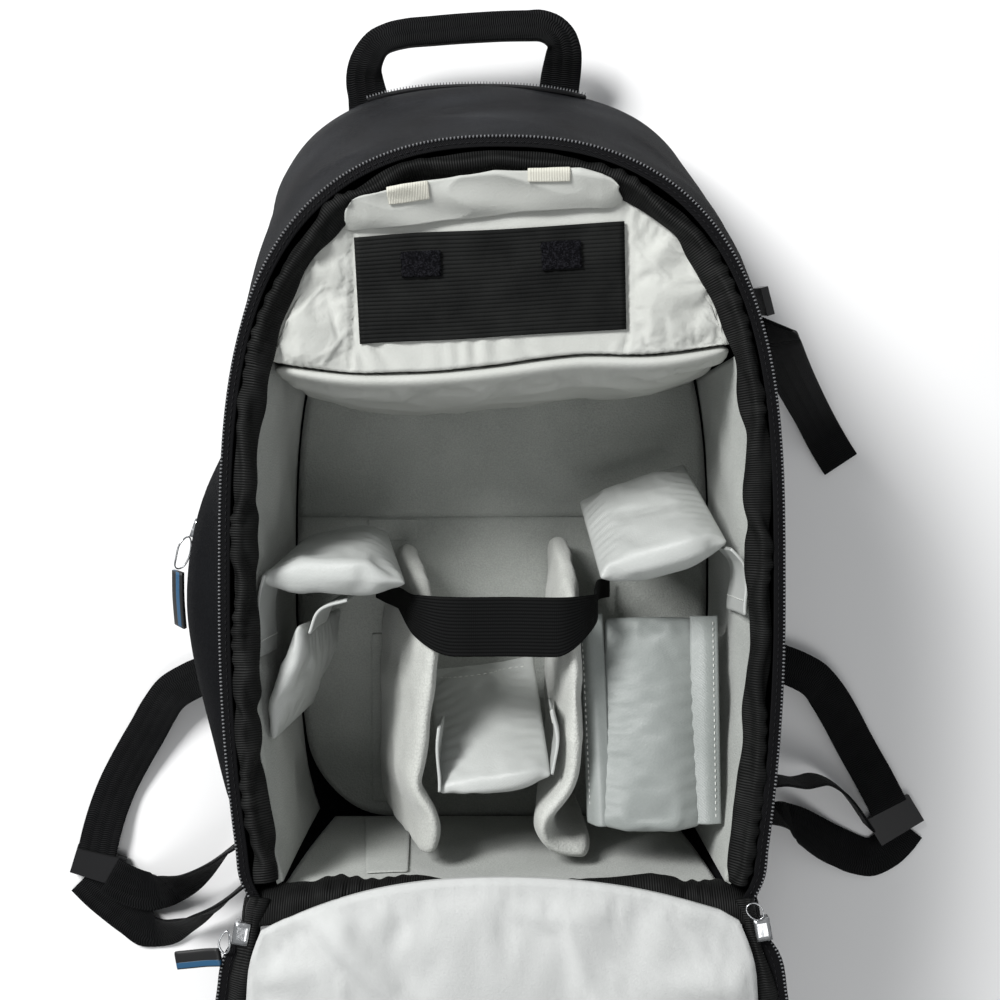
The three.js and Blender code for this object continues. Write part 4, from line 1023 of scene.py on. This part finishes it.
def pad_form(full, thin, front, foot):
    """A pad's middle surface, its thickness, and how far each of its points is sewn down."""
    front, foot = in_room(front), in_room(foot)
    depth = np.linalg.norm(front.mean(0) - foot.mean(0))
    columns, rows = int(length_of(front) / pad_cell), int(depth / pad_cell)
    across, out = np.linspace(0, 1, columns), np.linspace(0, 1, rows)[:, None]
    line_out, line_back = through(front, across), through(foot, across)
    surface = line_back * (1 - out[..., None]) + line_out * out[..., None]
    from_end = np.minimum(across, 1 - across)[None] * length_of(front)
    from_front, from_back = (1 - out) * depth, out * depth
    drawn_in = np.sin(pi / 2 * np.clip(from_end / 0.022, 0, 1)) ** 0.8
    wrapped = np.sqrt(1 - np.clip(1 - from_front / (0.5 * full), 0, 1) ** 2)
    closed = np.sin(pi / 2 * np.clip(from_back / 0.02, 0, 1)) ** 0.8
    held_back = np.exp(-(from_back / 0.004) ** 2) * np.ones((1, columns))
    held = np.maximum(np.exp(-(from_end / 0.004) ** 2), held_back)
    held = np.maximum(held, 0.3 * np.exp(-(from_front / 0.008) ** 2))
    return surface, thin + (full - thin) * drawn_in * wrapped * closed, held, from_end * np.ones((rows, 1))


for node, full, thin, front, foot in pads:
    surface, thickness, held, from_end = pad_form(full, thin, front, foot)
    pleats = np.linspace(0, length_of(surface[:, 0]), len(surface))[:, None]
    by_the_ends = np.exp(-((from_end - 0.009) / 0.006) ** 2)
    thickness = thickness + 0.0011 * np.sin(2 * pi * pleats / 0.0085) * by_the_ends
    pad = quilt(node + "_pad", surface, thickness)
    finer(billowed(pad, np.concatenate([held.ravel()] * 2), 0.035, 0.0035, 3.0, 20.0), 1)
    # the lower right pad takes the darker satin: painted shade
    dressed(pad, shaded_satin if node == "divider_lower_right" else satin, "satin", node)
    if node == "divider_centre":
        ends = surface[2, 2], surface[2, -3]
        hem = resting_on(pad, ends * 2, (0, 0, -1), 40, 1, 0.0002)
        beads(node + "_hem_stitches", [hem[0]], 0.0036, (0.0026, 0.0008, 0.0008), pale_thread, "satin")

for number, (node, wide, across, places) in enumerate(tabs, 1):
    path = through(in_room(places), np.linspace(0, 1, 9))
    across = np.array(across) / np.linalg.norm(across)
    out = np.cross(np.gradient(path, axis=0), across)
    out /= np.linalg.norm(out, axis=1)[:, None]
    rings = np.stack([
        path + across * side * wide / 2 + out * face * tab_cloth / 2
        for side, face in ((-1, -1), (1, -1), (1, 1), (-1, 1))
    ], 1)

    def wavy(surface, along, round_it):
        wave = rumple(surface.reshape(-1, 3), 0.02, 60).reshape(surface.shape[:2])
        return surface + out.mean(0) * 0.0007 * (wave[..., None])

    # the lower right pad's tabs take the darker satin: painted shade
    tab_satin = shaded_satin if node == "divider_lower_right" else satin
    dressed(strip(f"{node}_tab_{number}", rings, 0.0012, flat_section(28, 12), wavy), tab_satin, "satin")
    side = 1 if out[-1] @ (0, 0, 1) > 0 else -1
    edge = path[-1] - (path[-1] - path[-2]) * 1.6 + side * out[-1] * (tab_cloth / 2 + 0.0003)
    along_edge = np.linspace(-0.46, 0.46, 40)[:, None]
    beads(f"{node}_tab_{number}_stitches", [edge + across * along_edge * wide], 0.0032,
          (0.0023, 0.0006, 0.0006), pale_thread, "satin")

# Elastic band: wide ribbed elastic over the two long dividers and down beside them to the back wall, where
# its ends are sewn in.
elastic_rib = 0.0018
elastic, value = cloth("ribbed elastic", 0.7, gloss=0.08)
along, across = value.threads()
ribs = abs(across.wave(2 * elastic_rib))
knit = along.wave(0.0011)
tone = ribs.blend((0.0012, 0.0012, 0.0014), (0.005, 0.0053, 0.0053))
elastic = dye(elastic, tone, ribs + knit * 0.15, 0.00028)
low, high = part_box("elastic_band")
rings = rings_of("elastic_band", (low.x, low.y, low.z))
middles = rings.mean(1)
seen = (middles[:, 0] > low.x + 0.0165) & (middles[:, 0] < high.x - 0.054)
outwards = 0.021  # it runs straight from the right divider's edge to where it is sewn down
deep = np.clip((0.155 - middles[:, 2]) / 0.115, 0, 1)[:, None]
rings[..., 0] += outwards * deep * (middles[:, 0] > middle_x)[:, None]
rings = evened(rings, 1)


def stretched(surface, along, round_it):
    """Lets the band sag a little, and draws its lower edge up where it turns down beside the dividers."""
    x = surface.mean(1)[:, 0]
    turning = np.maximum(np.clip((-0.022 - x) / 0.032, 0, 1), np.clip((x - 0.031) / 0.025, 0, 1))
    drawn_up = 0.62 * turning ** 1.7
    upper_edge = surface[..., 1].max(1, keepdims=True)
    surface[..., 1] = upper_edge - (upper_edge - surface[..., 1]) * (1 - drawn_up[:, None])
    sag = 0.0012 * np.sin(pi * (along / along.max()))
    sag = sag + 0.0004 * rumple(surface.mean(1), 0.03, 55)[:, None]
    return surface - np.array((0, 1, 0)) * sag[..., None]


dressed(
    strip("elastic_over_dividers", rings[seen], 0.002, flat_section(32, 8), stretched), elastic, "elastic",
    "elastic_band",
)

# Shelf: the padded roll that closes the top compartment off, and the soft front of that compartment, with
# puffed sides and a flat middle behind its ribbed panel. Both are in the light taffeta, painted a little
# darker and warmer than the lid's lining: painted shade.
# A darker copy of the light taffeta, for the shelf, the compartment's front and its flap: painted shade.
shaded_taffeta = light_taffeta("shaded taffeta", (0.46, 0.47, 0.44), (0.54, 0.55, 0.52))
roll = skin("shelf", "shelf_cloth", 3, hard=180)


def roll_folds(places, normals):
    inner = 1 - seam_share(roll)
    return inner * (0.0008 * rumple(places, 0.035, 61) + 0.0016 * creased(places, 0.05, 62) - 0.0003)


swollen(roll, roll_folds)
dressed(billowed(roll, seam_share(roll), 0.05, 0.004, 3.0), shaded_taffeta, "lining", "shelf")

panel_low, panel_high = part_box("ribbed_panel")
front_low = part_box("pocket_front")[0]
pocket_seams = (panel_low.x - 0.0012, panel_high.x + 0.0008)
# Soft folds in its puffed sides, each [x, y] to [x, y] with its depth.
side_folds = (
    ((-0.108, 0.243), (-0.083, 0.232), 0.0026), ((-0.110, 0.205), (-0.082, 0.212), 0.0022),
    ((-0.100, 0.262), (-0.078, 0.250), 0.0018), ((0.108, 0.262), (0.078, 0.238), 0.0030),
    ((0.116, 0.222), (0.084, 0.226), 0.0024), ((0.114, 0.205), (0.086, 0.203), 0.0018),
    ((0.094, 0.276), (0.076, 0.266), 0.0020),
)
face = skin("pocket_front", "pocket_front_cloth", 3)
roll_tree = BVHTree.FromObject(roll, bpy.context.evaluated_depsgraph_get())
places = places_of(face)
column = np.round((places[:, 0] - front_low.x) / 0.004).astype(int)
foot_y = np.array([
    places[column == c, 1].min() if (column == c).any() else np.inf for c in range(column.max() + 1)
])
foot_z = front_low.z + 0.0015
gap = []
for c, y in enumerate(foot_y):
    above_roll = Vector((front_low.x + 0.004 * c, y + 0.004, foot_z))
    hit = roll_tree.ray_cast(above_roll, Vector((0, -1, 0)), 0.03)
    gap.append(y - hit[0].y - 0.0002 if hit[0] is not None else 0.006)
gap = np.convolve(np.pad(np.clip(gap, 0, 0.02), 2, mode="edge"), np.full(5, 0.2), "valid")
above_foot = places[:, 1] - foot_y[column]
places[:, 1] -= gap[column] * np.clip(1 - above_foot / 0.016, 0, 1)
put(face, places)


def face_folds(places, normals):
    seam = sum(near(places[:, 0], x, 0.0022) for x in pocket_seams)
    beside = (places[:, 0] < pocket_seams[0]) | (places[:, 0] > pocket_seams[1])
    lift = along_creases(places, side_folds, 0.0075)
    lift = lift + 0.0012 * rumple(places, 0.04, 63) + 0.0012 * creased(places, 0.05, 64)
    slant = places[:, 0] + 0.6 * places[:, 1]
    gathers = 0.0011 * np.sin(2 * pi * slant / 0.0125 + 4 * rumple(places, 0.05, 65))
    gathers *= np.clip(0.75 + 0.7 * rumple(places, 0.05, 67), 0, 1)
    below = np.clip((panel_low.y + 0.004 - places[:, 1]) / 0.004, 0, 1)
    upper = normals[:, 2] > 0
    return upper * (1 - seam_share(face)) * (beside * lift + (1 - beside) * below * gathers - 0.0016 * seam)


swollen(face, face_folds)
places = places_of(face)
past_seam = np.maximum(pocket_seams[0] - places[:, 0], places[:, 0] - pocket_seams[1])
flat_middle = np.clip(1 - np.clip(past_seam, 0, 1) / 0.006, 0, 1)
held = np.maximum(seam_share(face), flat_middle)
dressed(billowed(face, held, 0.05, 0.0035, 2.0, 12.0, 0.6), shaded_taffeta, "lining", "pocket_front")

# Ribbed panel of the compartment's front: stiff black elastic with a rib every 2.3 mm, sewn on round its
# edge, and two patches of loop tape stuck and sewn to it.
corners = np.array([v.co[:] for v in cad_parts["ribbed_panel"].data.vertices])
corners = corners[corners[:, 2] > panel_high.z - 0.0004]
a, b, c, d = (
    corners[(corners[:, 0] * x + corners[:, 1] * y).argmax()][None, None]
    for x, y in ((-1, -1.2), (1, -1.2), (-1, 1.2), (1, 1.2))
)
panel_ribs = int((panel_high.y - panel_low.y) / 0.0023)
across, up = np.linspace(0, 1, 48)[None, :, None], np.linspace(0, 1, panel_ribs * 8 + 1)[:, None, None]
surface = (a * (1 - across) + b * across) * (1 - up) + (c * (1 - across) + d * across) * up
slack = 0.0005 * rumple(surface.reshape(-1, 3), 0.05, 66).reshape(surface.shape[:2])
surface[..., 1] += slack
surface[..., 2] += 0.00045 * np.abs(np.sin(pi * panel_ribs * up[..., 0])) - 0.0006
panel = quilt("ribbed_panel_face", surface, np.full(surface.shape[:2], 0.0009))
panel_cloth, value = cloth("ribbed panel", 0.7, gloss=0.12)
panel_cloth = dye(
    panel_cloth, value.cloudy(0.02).above(0.5, 0.2).blend((0.003, 0.0033, 0.0032), (0.009, 0.0095, 0.009)),
    value.cloudy(0.001), 0.0002,
)
dressed(panel, panel_cloth, "elastic", "ribbed_panel")

loop_tape, value = cloth("loop tape", 0.95, gloss=0.1)
fuzz = value.cloudy(0.0009, 4.0)
tone = fuzz.above(0.55, 0.1).blend((0.0012, 0.0012, 0.002), (0.012, 0.012, 0.015))
loop_tape = dye(loop_tape, tone, fuzz, 0.0012)
for node in ("loop_patch_left", "loop_patch_right"):
    patch = skin(node, node + "_tape", 4, hard=60)
    swollen(patch, lambda places, normals: 0.0003 * rumple(places, 0.003, 71))
    dressed(patch, loop_tape, "loop_tape", node)

# Flap of the compartment: a hemmed piece of the same darker taffeta (painted shade), folded up over the
# gathered band, with two tabs of cream hook tape that match the patches, each sewn on along its edges.
flap = skin("pocket_flap", "pocket_flap_cloth", 3)
flap_low, flap_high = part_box("pocket_flap")


def flap_folds(places, normals):
    inside = np.clip((places[:, 0] - flap_low.x) / 0.01, 0, 1)
    inside = inside * np.clip((flap_high.x - places[:, 0]) / 0.01, 0, 1)
    long_folds = 0.0011 * rumple(places * (0.7, 2.2, 1), 0.03, 81)
    long_folds = long_folds + 0.0012 * creased(places * (0.6, 2, 1), 0.035, 82)
    return np.sign(normals[:, 2]) * inside * long_folds


swollen(flap, flap_folds)
places = places_of(flap)
column = np.round((places[:, 0] - flap_low.x) / 0.004).astype(int)
spans = [places[column == c, 1] for c in range(column.max() + 1)]
edges = [
    np.array([reach(span) if len(span) else np.nan for span in spans]) for reach in (np.min, np.max)
]
foot_y, top_y = (np.interp(column, np.flatnonzero(~np.isnan(y)), y[~np.isnan(y)]) for y in edges)
height = np.clip((places[:, 1] - foot_y) / (top_y - foot_y + 1e-6), 0, 1)
from_left, from_right = places[:, 0] - flap_low.x, flap_high.x - places[:, 0]
places[:, 0] -= (0.003 + 0.006 * (1 - height)) * np.clip(1 - from_left / 0.03, 0, 1)
by_the_ends = np.clip(1 - np.minimum(from_left, from_right) / 0.012, 0, 1)
places[:, 0] += 0.0012 * np.sin(5 * height + 1) * by_the_ends
for from_end in (from_left, from_right):
    rounding = np.clip(1 - from_end / 0.006, 0, 1) ** 2
    places[:, 1] -= 0.0045 * rounding * height ** 3 - 0.0025 * rounding * (1 - height) ** 3
wander = rumple(np.stack([places[:, 0], 0 * height, 0 * height], 1), 0.026, 83)
places[:, 1] += 0.0011 * wander * height ** 2
dressed(put(flap, places), shaded_taffeta, "lining", "pocket_flap")
hook_tape, value = cloth("hook tape", 0.8)
along, across = value.threads()
rows = abs(along.wave(0.0016)) * 0.6 + value.cloudy(0.0008, 3.0) * 0.4
hook_tape = dye(hook_tape, rows.blend((0.50, 0.49, 0.42), (0.70, 0.69, 0.61)), rows, 0.0004)
# the middle, length, width and turn, in degrees, of each tab
hook_places = {
    "hook_tab_left": (-0.0432, 0.2712, 0.021, 0.0085, 8),
    "hook_tab_right": (0.0268, 0.2800, 0.0212, 0.0070, 1),
}
for node, (x, y, length, width, turn) in hook_places.items():
    reach = np.array((np.cos(radians(turn)), np.sin(radians(turn)))) * length / 2
    rise = np.array((-reach[1], reach[0])) * width / length
    corners = [(*(np.array((x, y)) + i * reach + j * rise), flap_high.z) for j in (-1, 1) for i in (-1, 1)]
    grid = resting_on(flap, corners, (0, 0, -1), 24, 10, 0.0009)
    tab = finer(quilt(node + "_tape", grid, np.full(grid.shape[:2], 0.0010)), 1)
    dressed(tab, hook_tape, "hook_tape", node)

# Haul handle and webbing: ribbed black nylon webbing. The handle is folded double along its grip.
webbing, value = cloth("black webbing", 0.6, gloss=0.1)
along, across = value.threads()
twist = abs(across.wave(0.0125))
ribs = abs((along + twist * 0.0007).wave(0.0026))
worn = value.cloudy(0.01, 3.0).above(0.5, 0.2)
webbing = dye(
    webbing, (ribs * (0.45 + 0.55 * worn)).blend((0.0010, 0.0011, 0.0013), (0.007, 0.0073, 0.0078)),
    ribs, 0.0005, 0.7 - 0.15 * ribs,
)
straps = (
    "haul_handle", "strap_web_left", "strap_return_left", "strap_tail_left", "strap_web_right",
    "strap_return_right", "strap_tail_right", "compression_strap",
)
handle_slump = 0.0055  # how far the handle's grip has sunk back toward the pack
for node in straps:
    low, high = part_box(node)
    rings = rings_of(node, (low.x, high.y, high.z))
    if node == "haul_handle":
        rings[..., 1] -= handle_slump * np.clip((rings[..., 1] - low.y - 0.01) / 0.04, 0, 1)
    dressed(strip(node + "_webbing", rings, 0.0025, flat_section(24, 7)), webbing, "webbing", node)

# Hardware: ladder locks and a compression lock of moulded plastic, zip sliders and wire links of bright
# metal, and the moulded pulls, dull blue between black edges.
moulded, value = cloth("moulded plastic", 0.38, gloss=0.35)
grain = value.cloudy(0.0006, 2.0)
moulded = dye(moulded, grain.blend((0.004, 0.004, 0.0045), (0.008, 0.008, 0.009)), grain, 0.00004)
for node in ("strap_lock_left", "strap_lock_right", "compression_lock"):
    dressed(skin(node, node + "_frame", 4, hard=60), moulded, "plastic", node, hard=40)
bright, value = cloth("bright metal", 0.2, 0.0, 1.0)
scuffs = value.cloudy(0.002, 4.0).above(0.55, 0.1)
tone = scuffs.blend((0.56, 0.57, 0.58), (0.42, 0.43, 0.44))
bright = dye(bright, tone, scuffs, 0.00002, 0.18 + 0.2 * scuffs)
link_share = 0.6  # of its solid's size: the right zip's link is tucked in beside its slider
for node in (
    "side_slider", "side_link", "zip_slider_left", "zip_link_left", "zip_slider_right", "zip_link_right",
):
    metal = skin(node, node + "_metal", 2, hard=60 if "slider" in node else 180)
    if node == "zip_link_right":
        places = places_of(metal)
        slider = np.mean([corner[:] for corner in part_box("zip_slider_right")], 0)
        hook = places[np.linalg.norm(places - slider, axis=1).argmin()]
        put(metal, hook + (places - hook) * link_share)
    dressed(metal, bright, "metal", node)
pull_rubber, value = cloth("moulded pull", 0.5)
along, across = value.threads()
core = (across.wave(0.012)).above(0.72, 0.05)
pull_rubber = dye(pull_rubber, core.blend((0.003, 0.0032, 0.0036), (0.012, 0.07, 0.15)), core, 0.0002)
for node in ("side_pull", "zip_pull_left"):
    low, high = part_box(node)
    rings = rings_of(node, (high.x, high.y, high.z))
    dressed(strip(node + "_rubber", rings, 0.002, flat_section(20, 5)), pull_rubber, "pull_rubber", node)
